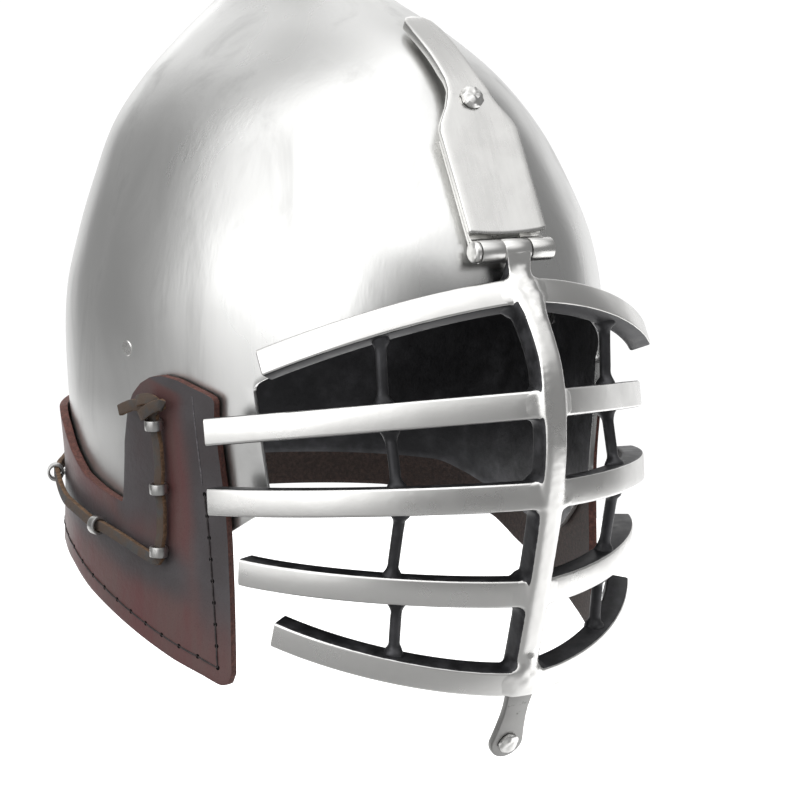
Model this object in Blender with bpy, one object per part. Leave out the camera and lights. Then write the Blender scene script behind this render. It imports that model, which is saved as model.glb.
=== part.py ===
"""Bascinet: a pointed steel skull with a hinged visor of bars, a turning clip and a laced leather collar.

Metres, +Z up. The face looks along -Y and +X is the wearer's left. The origin is the head's seat, the
point inside the crown where the top of a head comes to rest.
"""
import math

import bmesh
import bpy
from mathutils import Matrix, Vector

# The skull
SKULL_WIDTH = 0.218
SKULL_DEPTH = 0.258
CROWN_HEIGHT = 0.165
SKIRT_HEIGHT = 0.110
BROW_LEVEL = -0.0875
SKULL_WALL = 0.002
APEX_WALL = 0.0045
KEEL_RISE = 0.0022
KEEL_HALF_WIDTH = 0.022
CLEARANCE = 0.0003

# The face opening, whose upper edge runs along the top bar
BROW_EDGE_FRONT = -0.077
BROW_EDGE_FALL = 0.60
CHEEK_SETBACK = 0.0685
CHEEK_FOOT_SETBACK = 0.0717
CHEEK_FOOT_LEVEL = -0.1625
OPENING_CORNER_RADIUS = 0.004
CHEEK_FOOT_RADIUS = 0.006

# The visor
PIN_STANDOFF = 0.00756
PIN_LEVEL = -0.0585
PIN_DIAMETER = 0.0046
PIN_HEAD_DIAMETER = 0.0090
PIN_HEAD_THICKNESS = 0.0024
KNUCKLE_DIAMETER = 0.0092
MIDDLE_KNUCKLE_WIDTH = 0.0124
HINGE_WIDTH = 0.0336
BAR_HEIGHT = 0.011
BAR_DEPTH = 0.0094
SPINE_WIDTH = 0.011
SPINE_DEPTH = 0.011
ROD_DIAMETER = 0.0046
VISOR_WIDTH = 0.212
VISOR_HEIGHT = 0.176
VISOR_REACH = 0.0305
VISOR_SWEEP = 0.092
ROD_SPREAD = 0.0555
TAB_WIDTH = 0.0130
TAB_LENGTH = 0.034
TAB_THICKNESS = 0.003
TAB_END_RADIUS = 0.0074
STUD_DIAMETER = 0.0088
STUD_RISE = 0.0022
STUD_SHANK = 0.0044

# The turning clip and the leaf it holds
CLIP_WIDTH = 0.036
CLIP_LENGTH = 0.1145
CLIP_THICKNESS = 0.0028
CLIP_TAIL_THICKNESS = 0.0038
CLIP_TILT = 0.29
CLIP_FOOT_GAP = 0.0024
CLIP_FOOT_BOW = 0.0014
CLIP_RIVET_PLACE = 0.5153
RIVET_HEAD_DIAMETER = 0.0095
RIVET_HEAD_RISE = 0.0030
RIVET_SHANK = 0.0046
LEAF_THICKNESS = 0.0028
LEAF_LENGTH = 0.043
LEAF_SETBACK = 0.0023
SPACER_DIAMETER = 0.0076

# The leather collar, its staples and its lace
COLLAR_TOP = -0.1128
COLLAR_HEIGHT = 0.1255
COLLAR_WALL = 0.0034
COLLAR_GAP = 0.0012
COLLAR_FLARE = 0.0020
STAPLE_DIAMETER = 0.0076
STAPLE_BORE = 0.0050
STAPLE_LENGTH = 0.0045
STAPLE_POST = 0.0028
LACE_DIAMETER = 0.0034
LACE_LIFT = 0.0024
KNOT_LENGTH = 0.0105
KNOT_TAIL = 0.0105
SKULL_RIVET_DIAMETER = 0.0066
SKULL_RIVET_TURN = 77.0
SKULL_RIVET_DROP = 0.15

# Sections of the skull, from the skirt to the apex. rise is a share of the crown's height above the brow
# or, below it, of the skirt's; half of half the width; front, back and widest of half the depth.
SKULL_SECTIONS = (
    # rise, half, front, back, widest
    (-1.000, 0.957, -0.970, 1.007, 0.274),
    (-0.667, 0.957, -0.988, 1.002, 0.274),
    (-0.333, 0.989, -0.998, 0.997, 0.274),
    (0.000, 1.000, -0.978, 0.943, 0.267),
    (0.167, 0.951, -0.940, 0.881, 0.267),
    (0.306, 0.875, -0.853, 0.853, 0.281),
    (0.444, 0.772, -0.744, 0.821, 0.316),
    (0.567, 0.615, -0.614, 0.784, 0.345),
    (0.667, 0.440, -0.437, 0.750, 0.374),
    (0.750, 0.290, -0.190, 0.690, 0.385),
    (0.822, 0.185, 0.040, 0.580, 0.375),
    (0.889, 0.105, 0.175, 0.459, 0.350),
    (0.961, 0.046, 0.262, 0.359, 0.324),
    (1.000, 0.010, 0.300, 0.318, 0.309),
)

# Hem of the skull behind the cheek's foot: setback as a share of half the depth, drop of the skirt's.
HEM_LINE = (
    # setback, drop
    (-0.36, 0.830),
    (-0.17, 0.985),
    (0.06, 0.992),
    (0.28, 0.940),
    (0.58, 0.825),
    (1.30, 0.795),
)

# Bars from the brow down. level is a share of the visor's height below the pin, reach of its reach past
# the pin, span of half its width, sweep of its sweep; fall, turn and cusp shape each bar's own curve.
BARS = (
    # level, reach, fall, span, sweep, turn, cusp
    (0.084, 0.29, -30.3, 0.878, 0.597, 56.9, 1.26),
    (0.322, 0.98, -9.5, 0.999, 0.998, 74.8, 1.63),
    (0.527, 0.95, -4.6, 0.980, 0.996, 80.1, 1.34),
    (0.759, 0.62, 4.7, 0.897, 0.786, 79.1, 1.37),
    (0.976, 0.36, 20.5, 0.811, 0.616, 64.7, 1.24),
)

# Front line of the central bar below the pin, in the same shares.
SPINE_LINE = (
    # level, reach
    (0.000, 0.150),
    (0.030, 0.165),
    (0.055, 0.220),
    (0.080, 0.335),
    (0.106, 0.450),
    (0.137, 0.580),
    (0.188, 0.775),
    (0.242, 0.920),
    (0.310, 1.020),
    (0.390, 1.062),
    (0.464, 1.036),
    (0.577, 0.938),
    (0.697, 0.774),
    (0.810, 0.602),
    (0.918, 0.430),
    (0.992, 0.300),
)
TAB_FALL = 66.0

# Outline and bend of the clip from its foot to its tip: lift as a share of its length, bend of the run
# up to there away from the plate, half as a share of half its width, tail of its change from plate to
# tail thickness.
CLIP_ROWS = (
    # lift, bend, half, tail
    (0.000, 0.0, 1.000, 0.0),
    (0.220, 0.0, 1.000, 0.0),
    (0.400, 0.0, 1.010, 0.0),
    (0.425, 0.0, 0.950, 0.0),
    (0.460, 0.0, 0.810, 0.0),
    (0.490, 0.0, 0.680, 0.0),
    (0.524, 0.0, 0.580, 0.0),
    (0.552, 0.0, 0.520, 0.0),
    (0.612, 17.0, 0.450, 1.0),
    (0.682, 22.0, 0.430, 1.0),
    (0.751, 25.0, 0.420, 1.0),
    (0.821, 28.0, 0.420, 1.0),
    (0.891, 31.0, 0.410, 1.0),
    (0.955, 34.0, 0.370, 1.0),
    (0.985, 37.0, 0.250, 1.0),
    (1.000, 38.0, 0.100, 1.0),
)

# Rods that tie each bar to the next, as shares of the rods' spread.
ROD_PLACES = (1.008, 0.985, 0.966, 0.920)

# Edge of the collar seen from the side, from the front foot up and round. setback is a share of half the
# skull's depth, level of the collar's height above its foot, round of the collar's height.
COLLAR_EDGE = (
    # setback, level, round
    (-0.473, 0.000, 0.055),
    (-0.450, 0.460, 0.000),
    (-0.436, 0.700, 0.000),
    (-0.430, 0.885, 0.000),
    (-0.436, 0.952, 0.010),
    (-0.352, 0.977, 0.000),
    (-0.287, 0.997, 0.000),
    (-0.225, 1.003, 0.000),
    (-0.175, 0.995, 0.000),
    (-0.125, 0.970, 0.000),
    (-0.080, 0.930, 0.000),
    (-0.050, 0.880, 0.000),
    (-0.010, 0.760, 0.000),
    (0.012, 0.660, 0.000),
    (0.035, 0.553, 0.012),
    (0.153, 0.577, 0.000),
    (0.280, 0.612, 0.000),
    (0.390, 0.680, 0.000),
    (0.470, 0.755, 0.000),
    (0.580, 0.800, 0.000),
    (0.800, 0.810, 0.000),
    (1.200, 0.810, 0.000),
    (1.200, 0.370, 0.000),
    (0.800, 0.365, 0.000),
    (0.509, 0.335, 0.000),
    (0.366, 0.290, 0.000),
    (0.233, 0.228, 0.000),
    (0.039, 0.161, 0.000),
    (-0.097, 0.116, 0.000),
    (-0.240, 0.070, 0.000),
    (-0.364, 0.037, 0.000),
)

# Staples of one side, from the knot down and round to the nape. turn is the angle from straight ahead,
# drop a share of the skirt's height, and along says which way the staple's bore looks.
STAPLES = (
    # turn, drop, along
    (68.3, 0.404, "up"),
    (68.5, 0.647, "up"),
    (68.5, 0.887, "up"),
    (83.8, 0.845, "round"),
    (113.0, 0.723, "round"),
    (139.0, 0.690, "round"),
    (166.0, 0.680, "round"),
)
LACE_SPACING = 0.0090

SKULL_SIDES = 42
SKULL_RINGS = 22
COLLAR_SIDES = 46
BAR_STEPS = 9


# Materials

def material(name, colour, roughness, metallic):
    made = bpy.data.materials.new(name)
    made.use_nodes = True
    shader = made.node_tree.nodes["Principled BSDF"]
    shader.inputs["Base Color"].default_value = (*colour, 1.0)
    shader.inputs["Roughness"].default_value = roughness
    shader.inputs["Metallic"].default_value = metallic
    return made


def add_object(name, bm, finish):
    """Makes an object from a finished bmesh, shaded smooth with its hard edges kept."""
    mesh = bpy.data.meshes.new(name)
    bmesh.ops.recalc_face_normals(bm, faces=bm.faces)
    bm.to_mesh(mesh)
    bm.free()
    mesh.shade_smooth()
    mesh.set_sharp_from_angle(angle=math.radians(35))
    mesh.materials.append(finish)
    thing = bpy.data.objects.new(name, mesh)
    bpy.context.collection.objects.link(thing)
    return thing


def cutter(name, bm):
    tool = add_object(name, bm, STEEL)
    tool.hide_render = True
    tool.display_type = "WIRE"
    return tool


def combine(target, tool, operation):
    step = target.modifiers.new(tool.name, "BOOLEAN")
    step.object = tool
    step.operation = operation
    step.solver = "EXACT"


# Curves and sections

def smooth_value(rows, column, at):
    """Reads a table's column at a place in its first column, on a curve through the rows."""
    keys = [row[0] for row in rows]
    values = [row[column] for row in rows]
    at = min(max(at, keys[0]), keys[-1])
    place = max(index for index in range(len(keys) - 1) if keys[index] <= at)
    width = keys[place + 1] - keys[place]
    share = (at - keys[place]) / width

    def slope(index):
        before, after = max(index - 1, 0), min(index + 1, len(keys) - 1)
        return (values[after] - values[before]) / (keys[after] - keys[before])

    a, b = values[place], values[place + 1]
    c, d = slope(place) * width, slope(place + 1) * width
    return (a * (1 + 2 * share) * (1 - share) ** 2 + c * share * (1 - share) ** 2
            + b * share ** 2 * (3 - 2 * share) + d * share ** 2 * (share - 1))


def smooth_path(points, spacing):
    """Points about a spacing apart on a smooth curve through the points given."""
    made = []
    for index in range(len(points) - 1):
        before = points[max(index - 1, 0)]
        start, end = points[index], points[index + 1]
        after = points[min(index + 2, len(points) - 1)]
        steps = max(1, round((end - start).length / spacing))
        for step in range(steps):
            t = step / steps
            made.append(0.5 * (2 * start + (end - before) * t
                               + (2 * before - 5 * start + 4 * end - after) * t * t
                               + (3 * start - before - 3 * end + after) * t ** 3))
    made.append(points[-1])
    return made


def skull_section(level):
    """Half width, front, back and widest place of the skull's outside at a level."""
    rise = level - BROW_LEVEL
    share = rise / (CROWN_HEIGHT if rise > 0 else SKIRT_HEIGHT)
    half = smooth_value(SKULL_SECTIONS, 1, share) * SKULL_WIDTH / 2
    front, back, widest = (smooth_value(SKULL_SECTIONS, column, share) * SKULL_DEPTH / 2
                           for column in (2, 3, 4))
    return half, front, back, widest


def skull_point(level, turn, out=0.0):
    """A point of the skull's outside, moved out of it; turn is the angle from straight ahead."""
    half, front, back, widest = skull_section(level)
    reach = (widest - front if math.cos(turn) > 0 else back - widest) + out
    x = (half + out) * math.sin(turn)
    y = widest - reach * math.cos(turn)
    if math.cos(turn) > 0:
        keel_share = min(max((level - BROW_LEVEL) / CROWN_HEIGHT, 0.0), 1.0) ** 2
        side = max(0.0, 1.0 - abs(x) / KEEL_HALF_WIDTH)
        y -= KEEL_RISE * keel_share * side * min(1.0, half / KEEL_HALF_WIDTH)
    return Vector((x, y, level))


def skull_normal(level, turn, out=0.0):
    small = 0.001
    round_step = skull_point(level, turn + 0.01, out) - skull_point(level, turn - 0.01, out)
    rise_step = skull_point(level + small, turn, out) - skull_point(level - small, turn, out)
    return round_step.cross(rise_step).normalized()


def rounded(corners):
    """Closed outline in the Y-Z plane, with an arc of its own radius at each corner that has one."""
    outline = []
    count = len(corners)
    for index, (y, z, radius) in enumerate(corners):
        corner = Vector((y, z))
        if radius <= 0:
            outline.append(corner)
            continue
        before = Vector(corners[index - 1][:2]) - corner
        after = Vector(corners[(index + 1) % count][:2]) - corner
        before_way, after_way = before.normalized(), after.normalized()
        half = before_way.angle(after_way) / 2
        run = min(radius / math.tan(half), 0.45 * before.length, 0.45 * after.length)
        middle = corner + (before_way + after_way).normalized() * run / math.cos(half)
        start, end = corner + before_way * run, corner + after_way * run
        for step in range(5):
            way = (start - middle).lerp(end - middle, step / 4).normalized()
            outline.append(middle + way * (start - middle).length)
    return outline


# Solids

def add_ring(bm, points):
    """A closed loop of vertices and the edges between them."""
    loop = [bm.verts.new(point) for point in points]
    return [bm.edges.new((loop[index], loop[(index + 1) % len(loop)])) for index in range(len(loop))]


def loft(bm, rings):
    """Joins loops of points in turn and fills the two ends."""
    loops = [add_ring(bm, ring) for ring in rings]
    for index in range(len(loops) - 1):
        bmesh.ops.bridge_loops(bm, edges=loops[index] + loops[index + 1])
    for end in (loops[0], loops[-1]):
        bmesh.ops.contextual_create(bm, geom=end)
    return bm


def add_cylinder(bm, start, end, radius, sides, end_radius=None):
    """A round bar, or a cone with an end radius, between two points."""
    way = Vector(end) - Vector(start)
    turn = way.to_track_quat("Z", "Y").to_matrix().to_4x4()
    place = Matrix.Translation((Vector(start) + Vector(end)) / 2) @ turn
    bmesh.ops.create_cone(bm, cap_ends=True, segments=sides, radius1=radius,
                          radius2=radius if end_radius is None else end_radius,
                          depth=way.length, matrix=place)
    return bm


def prism(outline, half_width):
    """A solid whose side view is the outline, as wide on both sides."""
    bm = bmesh.new()
    loop = [bm.verts.new((-half_width, point[0], point[1])) for point in outline]
    face = bm.faces.new(loop)
    made = bmesh.ops.extrude_face_region(bm, geom=[face])
    moved = [item for item in made["geom"] if isinstance(item, bmesh.types.BMVert)]
    bmesh.ops.translate(bm, verts=moved, vec=(2 * half_width, 0, 0))
    return bm


def dome(bm, centre, way, radius, rise, sides=16):
    """A low round head on a flat face, with a straight rim of a third of its rise."""
    turn = Vector(way).to_track_quat("Z", "Y").to_matrix().to_4x4()
    place = Matrix.Translation(centre) @ turn
    profile = ((1.0, 0.0), (1.0, 0.33), (0.86, 0.72), (0.52, 0.95))
    rings = [[place @ Vector((radius * wide * math.cos(math.tau * side / sides),
                              radius * wide * math.sin(math.tau * side / sides), rise * high))
              for side in range(sides)] for wide, high in profile]
    return loft(bm, rings)


# The skull

def skull_levels():
    """Levels of the skull's loops, closer together near the apex."""
    bottom = BROW_LEVEL - SKIRT_HEIGHT
    top = BROW_LEVEL + CROWN_HEIGHT
    return [bottom + (top - bottom) * (1 - (1 - step / SKULL_RINGS) ** 1.25)
            for step in range(SKULL_RINGS + 1)]


def skull_rings(out=0.0, levels=None):
    """Loops of the skull's outside, moved out of it or, when out is below nothing, into its wall."""
    turns = [math.tau * side / SKULL_SIDES for side in range(SKULL_SIDES)]
    return [[skull_point(level, turn, max(out, -0.6 * skull_section(level)[0])) for turn in turns]
            for level in levels or skull_levels()]


def make_skull():
    inner_top = skull_levels()[-1] - APEX_WALL
    inner_levels = [level for level in skull_levels() if level < inner_top - APEX_WALL] + [inner_top]
    inside = skull_rings(-SKULL_WALL, inner_levels)
    below = [Vector((point.x, point.y, point.z - SKULL_WALL)) for point in inside[0]]
    skull = add_object("skull", loft(bmesh.new(), skull_rings()), STEEL)
    combine(skull, cutter("head_hollow", loft(bmesh.new(), [below] + inside)), "DIFFERENCE")
    combine(skull, cutter("face_and_hem_cut", face_and_hem_cut()), "DIFFERENCE")
    combine(skull, cutter("clip_rivet_hole", clip_rivet_hole()), "DIFFERENCE")
    for side in (-1, 1):
        hole = skull_rivet_solid(side, CLEARANCE, through=True)
        combine(skull, cutter(f"skull_rivet_hole_{side_name(side)}", hole), "DIFFERENCE")
    return skull


def face_and_hem_cut():
    """Side view of all that is cut from the skull: the face's opening and what lies below the hem."""
    far = SKULL_DEPTH
    front = -SKULL_DEPTH / 2
    edge_start = BROW_EDGE_FRONT + BROW_EDGE_FALL * (far + front)
    corner = BROW_EDGE_FRONT - BROW_EDGE_FALL * (-front - CHEEK_SETBACK)
    corners = [(-far, edge_start, 0.0),
               (-CHEEK_SETBACK, corner, OPENING_CORNER_RADIUS),
               (-CHEEK_FOOT_SETBACK, CHEEK_FOOT_LEVEL, CHEEK_FOOT_RADIUS)]
    for setback, drop in HEM_LINE:
        corners.append((setback * SKULL_DEPTH / 2, BROW_LEVEL - drop * SKIRT_HEIGHT, 0.0))
    below = BROW_LEVEL - 2 * SKIRT_HEIGHT
    corners += [(far, below, 0.0), (-far, below, 0.0)]
    return prism(rounded(corners), SKULL_WIDTH)


def side_name(side):
    return "left" if side > 0 else "right"


def skull_rivet_solid(side, grow=0.0, through=False):
    """A flush rivet through the skull above the collar, or the hole that it fills."""
    level = BROW_LEVEL - SKULL_RIVET_DROP * SKIRT_HEIGHT
    turn = math.radians(SKULL_RIVET_TURN) * side
    face = skull_point(level, turn)
    out = skull_normal(level, turn)
    inner = SKULL_WALL * 2 if through else SKULL_WALL + CLEARANCE
    outer = SKULL_WALL if through else 0.0002
    bm = bmesh.new()
    add_cylinder(bm, face - out * inner, face + out * outer, SKULL_RIVET_DIAMETER / 2 + grow, 16)
    return bm


def make_skull_rivet(side):
    return add_object(f"skull_rivet_{side_name(side)}", skull_rivet_solid(side), STEEL)


# The turning clip, its leaf and the hinge

def pin_place():
    """Middle of the hinge pin, as far in front of the skull as it stands off it."""
    return Vector((0, skull_point(PIN_LEVEL, 0.0).y - PIN_STANDOFF, PIN_LEVEL))


def clip_lean():
    """How far the clip's plate leans back, from the skull's own slope behind the leaf."""
    rise = skull_point(PIN_LEVEL + LEAF_LENGTH, 0.0) - skull_point(PIN_LEVEL, 0.0)
    return math.atan2(rise.y, rise.z) + math.radians(CLIP_TILT)


def clip_frame():
    """Foot of the clip's front face, and the ways up along its flat part and out of it."""
    lean = clip_lean()
    up = Vector((0, math.sin(lean), math.cos(lean)))
    out = Vector((0, -math.cos(lean), math.sin(lean)))
    face = pin_place() + out * (CLIP_THICKNESS + CLEARANCE - LEAF_SETBACK)
    return face + up * (KNUCKLE_DIAMETER / 2 + CLIP_FOOT_GAP), up, out


def clip_rivet_place():
    foot, up, out = clip_frame()
    return foot + up * CLIP_RIVET_PLACE * CLIP_LENGTH, up, out


def skull_depth_below(point, out):
    """How far under a point, against the way out, the skull's front line lies."""
    depth, step = 0.0, SKULL_WALL / 40
    while depth < CLIP_LENGTH / 4:
        spot = point - out * depth
        if spot.y > skull_point(spot.z, 0.0).y:
            break
        depth += step
    return depth


def clip_rivet_hole():
    centre, up, out = clip_rivet_place()
    return add_cylinder(bmesh.new(), centre - out * CLIP_LENGTH / 4, centre + out * RIVET_HEAD_DIAMETER,
                        RIVET_SHANK / 2 + CLEARANCE, 16)


def clip_stations():
    """Rows along the clip: front-face point, way out, half width and thickness."""
    spot = clip_frame()[0]
    stations, reached = [], 0.0
    for lift, bend, half, tail in CLIP_ROWS:
        tilt = clip_lean() + math.radians(bend)
        up = Vector((0, math.sin(tilt), math.cos(tilt)))
        spot = spot + up * (lift - reached) * CLIP_LENGTH
        reached = lift
        thick = CLIP_THICKNESS + (CLIP_TAIL_THICKNESS - CLIP_THICKNESS) * tail
        stations.append((spot, Vector((0, -up.z, up.y)), half * CLIP_WIDTH / 2, thick))
    return stations


def make_clip():
    rings = []
    for index, (spot, out, half, thick) in enumerate(clip_stations()):
        edge = min(0.0006, thick / 4)
        across = [half * share for share in (-1.0, -0.5, 0.0, 0.5, 1.0)]
        section = [(x, -thick) for x in reversed(across)] + [(-half, -edge)]
        section += [(x * (1 - edge / half), 0.0) for x in across] + [(half, -edge)]
        up = Vector((0, out.z, -out.y)) * (CLIP_FOOT_BOW if index == 0 else 0.0)
        rings.append([spot + Vector((x, 0, 0)) + out * depth + up * (x / half) ** 2
                      for x, depth in section])
    bm = loft(bmesh.new(), rings)
    clip = add_object("clip", bm, BRIGHT_STEEL)
    combine(clip, cutter("clip_bore", clip_rivet_hole()), "DIFFERENCE")
    return clip


def make_clip_rivet():
    """Domed rivet that the clip turns on, its shank through the skull with a head inside."""
    centre, up, out = clip_rivet_place()
    skull_face = centre - out * skull_depth_below(centre, out)
    inside = skull_face - out * (SKULL_WALL * 1.3 + CLEARANCE)
    shank = bmesh.new()
    add_cylinder(shank, inside - out * 0.0004, centre + out * (CLEARANCE + 0.0004),
                 RIVET_SHANK / 2, 12)
    rivet = add_object("clip_rivet", shank, BRIGHT_STEEL)
    head = dome(bmesh.new(), centre + out * CLEARANCE, out, RIVET_HEAD_DIAMETER / 2, RIVET_HEAD_RISE)
    combine(rivet, cutter("clip_rivet_head", head), "UNION")
    tail = bmesh.new()
    add_cylinder(tail, inside - out * 0.0016, inside, RIVET_SHANK * 0.85, 12)
    combine(rivet, cutter("clip_rivet_tail", tail), "UNION")
    return rivet


def make_spacer():
    """Washer on the rivet's shank that carries the clip clear of the skull."""
    centre, up, out = clip_rivet_place()
    top = centre - out * (CLIP_THICKNESS + CLEARANCE)
    foot = centre - out * (skull_depth_below(centre, out) + SKULL_WALL)
    bm = bmesh.new()
    add_cylinder(bm, foot, top, SPACER_DIAMETER / 2, 16)
    spacer = add_object("clip_spacer", bm, DARK_STEEL)
    combine(spacer, cutter("clip_spacer_bore", clip_rivet_hole()), "DIFFERENCE")
    combine(spacer, cutter("clip_spacer_seat", loft(bmesh.new(), skull_rings(CLEARANCE))), "DIFFERENCE")
    return spacer


def make_leaf():
    """Doubled sheet folded round the pin: two outer knuckles and the flat part under the clip."""
    foot, up, out = clip_frame()
    pin = pin_place()
    half = HINGE_WIDTH / 2
    back = -(LEAF_SETBACK + LEAF_THICKNESS)
    front = -LEAF_SETBACK
    low, high = -0.25 * KNUCKLE_DIAMETER, KNUCKLE_DIAMETER / 2 + CLIP_FOOT_GAP + LEAF_LENGTH
    side_view = [(low, back), (high, back), (high + 0.3 * LEAF_THICKNESS, (back + front) / 2),
                 (high, front), (0.62 * KNUCKLE_DIAMETER, front), (0.30 * KNUCKLE_DIAMETER, 0.0),
                 (low, 0.0)]
    outline = [pin + up * along + out * depth for along, depth in side_view]
    leaf = add_object("hinge_leaf", prism([(point.y, point.z) for point in outline], half), STEEL)
    knuckle = add_cylinder(bmesh.new(), pin - Vector((half, 0, 0)), pin + Vector((half, 0, 0)),
                           KNUCKLE_DIAMETER / 2, 20)
    combine(leaf, cutter("leaf_knuckle", knuckle), "UNION")
    room = MIDDLE_KNUCKLE_WIDTH / 2 + CLEARANCE
    gap = add_cylinder(bmesh.new(), pin - Vector((room, 0, 0)), pin + Vector((room, 0, 0)),
                       KNUCKLE_DIAMETER / 2 + 2 * CLEARANCE, 20)
    combine(leaf, cutter("leaf_gap", gap), "DIFFERENCE")
    combine(leaf, cutter("leaf_bore", pin_solid(CLEARANCE, HINGE_WIDTH)), "DIFFERENCE")
    return leaf


def pin_solid(grow, width):
    pin = pin_place()
    return add_cylinder(bmesh.new(), pin - Vector((width, 0, 0)), pin + Vector((width, 0, 0)),
                        PIN_DIAMETER / 2 + grow, 16)


def make_pin():
    """Hinge pin with its domed head on the wearer's right."""
    pin = pin_place()
    side = Vector((1, 0, 0))
    head_foot = pin - side * (HINGE_WIDTH / 2 + CLEARANCE)
    shank = add_cylinder(bmesh.new(), head_foot - side * 0.0004,
                         pin + side * (HINGE_WIDTH / 2 + 0.0006), PIN_DIAMETER / 2, 16)
    made = add_object("hinge_pin", shank, BRIGHT_STEEL)
    head = dome(bmesh.new(), head_foot, -side, PIN_HEAD_DIAMETER / 2, PIN_HEAD_THICKNESS)
    combine(made, cutter("hinge_pin_head", head), "UNION")
    return made


# The visor

def visor_point(level, reach):
    """A point on the middle plane, from its shares of the visor's height and reach."""
    return pin_place() - Vector((0, reach * VISOR_REACH, level * VISOR_HEIGHT))


def bar_point(bar, turn, depth=0.0):
    """A point on the middle of a bar's front face, or as deep behind it."""
    level, reach, fall, span, sweep, full_turn, cusp = bar
    half, back = span * VISOR_WIDTH / 2, sweep * VISOR_SWEEP

    def flat(angle):
        side = abs(math.sin(angle)) / math.sin(math.radians(full_turn))
        drop = 1 - math.cos(angle) ** cusp
        full = 1 - math.cos(math.radians(full_turn)) ** cusp
        return Vector((math.copysign(half * side ** cusp, angle), back * drop / full))

    spot = flat(turn)
    small = 0.01
    way = (flat(turn + small) - flat(turn - small)).normalized()
    spot = spot + Vector((-way.y, way.x)) * depth
    tilt = math.radians(fall)
    return visor_point(level, reach) + Vector((spot.x, spot.y * math.cos(tilt), spot.y * math.sin(tilt)))


def bar_turn(bar, x):
    """The turn at which a bar's front face is this far to the side."""
    span, full_turn, cusp = bar[3], math.radians(bar[5]), bar[6]
    side = x / (span * VISOR_WIDTH / 2)
    return math.asin(math.sin(full_turn) * side ** (1 / cusp))


def bar_solid(bar):
    tilt = math.radians(bar[2])
    across = Vector((0, -math.sin(tilt), math.cos(tilt))) * BAR_HEIGHT / 2
    rings = []
    for step in range(-BAR_STEPS, BAR_STEPS + 1):
        turn = math.radians(bar[5]) * step / BAR_STEPS
        front, back = bar_point(bar, turn), bar_point(bar, turn, BAR_DEPTH)
        rings.append([front + across, front - across, back - across, back + across])
    return loft(bmesh.new(), rings)


def spine_stations():
    """Points down the central bar's front line, with the way out of it at each."""
    line = [visor_point(level, reach) for level, reach in SPINE_LINE]
    path = smooth_path(line, 0.009)
    stations = []
    for index, spot in enumerate(path):
        along = path[min(index + 1, len(path) - 1)] - path[max(index - 1, 0)]
        along.normalize()
        stations.append((spot, Vector((0, along.z, -along.y))))
    return stations


def make_visor():
    half, depth = SPINE_WIDTH / 2, SPINE_DEPTH
    section = ((-half, -depth), (-half, -0.2 * depth), (-0.62 * half, -0.03 * depth),
               (0.62 * half, -0.03 * depth), (half, -0.2 * depth), (half, -depth))
    rings = []
    for index, (spot, out) in enumerate(spine_stations()):
        thin = min(1.0, 0.62 + 0.14 * index)
        rings.append([spot + Vector((x, 0, 0)) + out * inward * thin for x, inward in section])
    visor = add_object("visor", loft(bmesh.new(), rings), BRIGHT_STEEL)
    for number, bar in enumerate(BARS, 1):
        combine(visor, cutter(f"bar_{number}", bar_solid(bar)), "UNION")
    for number, place in enumerate(ROD_PLACES):
        for side in (-1, 1):
            x = place * ROD_SPREAD
            ends = [bar_point(bar, bar_turn(bar, x) * side, BAR_DEPTH * 0.55)
                    for bar in (BARS[number], BARS[number + 1])]
            rod = add_cylinder(bmesh.new(), ends[0], ends[1], ROD_DIAMETER / 2, 8)
            combine(visor, cutter(f"rod_{number + 1}_{side_name(side)}", rod), "UNION")
    pin = pin_place()
    wide = Vector((MIDDLE_KNUCKLE_WIDTH / 2, 0, 0))
    knuckle = add_cylinder(bmesh.new(), pin - wide, pin + wide, KNUCKLE_DIAMETER / 2, 20)
    combine(visor, cutter("visor_knuckle", knuckle), "UNION")
    combine(visor, cutter("tab", tab_solid()), "UNION")
    combine(visor, cutter("visor_bore", pin_solid(CLEARANCE, MIDDLE_KNUCKLE_WIDTH)), "DIFFERENCE")
    stud, out = tab_stud_place()
    hole = add_cylinder(bmesh.new(), stud - out * 0.01, stud + out * 0.01,
                        STUD_SHANK / 2 + CLEARANCE, 16)
    combine(visor, cutter("tab_hole", hole), "DIFFERENCE")
    return visor


def tab_frame():
    """Start of the tab's front face at the foot of the central bar, its way down and its way out."""
    fall = math.radians(TAB_FALL)
    down = Vector((0, math.cos(fall), -math.sin(fall)))
    out = Vector((0, -math.sin(fall), -math.cos(fall)))
    return spine_stations()[-1][0] - out * 0.001, down, out


def tab_stud_place():
    start, down, out = tab_frame()
    return start + down * (TAB_LENGTH - TAB_END_RADIUS), out


def tab_solid():
    """Flat ear with a round end, from inside the central bar's foot down."""
    start, down, out = tab_frame()
    neck = TAB_WIDTH / 2
    reach = TAB_LENGTH - TAB_END_RADIUS
    outline = [(-neck, -0.006), (-0.85 * neck, 0.35 * reach)]
    outline += [(-TAB_END_RADIUS * math.cos(angle), reach + TAB_END_RADIUS * math.sin(angle))
                for angle in (math.pi * step / 10 for step in range(11))]
    outline += [(0.85 * neck, 0.35 * reach), (neck, -0.006)]
    rings = [[start + Vector((x, 0, 0)) + down * along - out * depth for x, along in outline]
             for depth in (0.0, TAB_THICKNESS)]
    return loft(bmesh.new(), rings)


def make_stud():
    """Hammered stud in the tab's hole, a head on each face."""
    place, out = tab_stud_place()
    front = place + out * CLEARANCE
    back = place - out * (TAB_THICKNESS + CLEARANCE)
    shank = add_cylinder(bmesh.new(), back - out * 0.0004, front + out * 0.0004, STUD_SHANK / 2, 12)
    stud = add_object("tab_stud", shank, BRIGHT_STEEL)
    for name, spot, way in (("front", front, out), ("back", back, -out)):
        head = dome(bmesh.new(), spot, way, STUD_DIAMETER / 2, STUD_RISE)
        combine(stud, cutter(f"tab_stud_{name}", head), "UNION")
    return stud


# The collar, its staples and its lace

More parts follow.
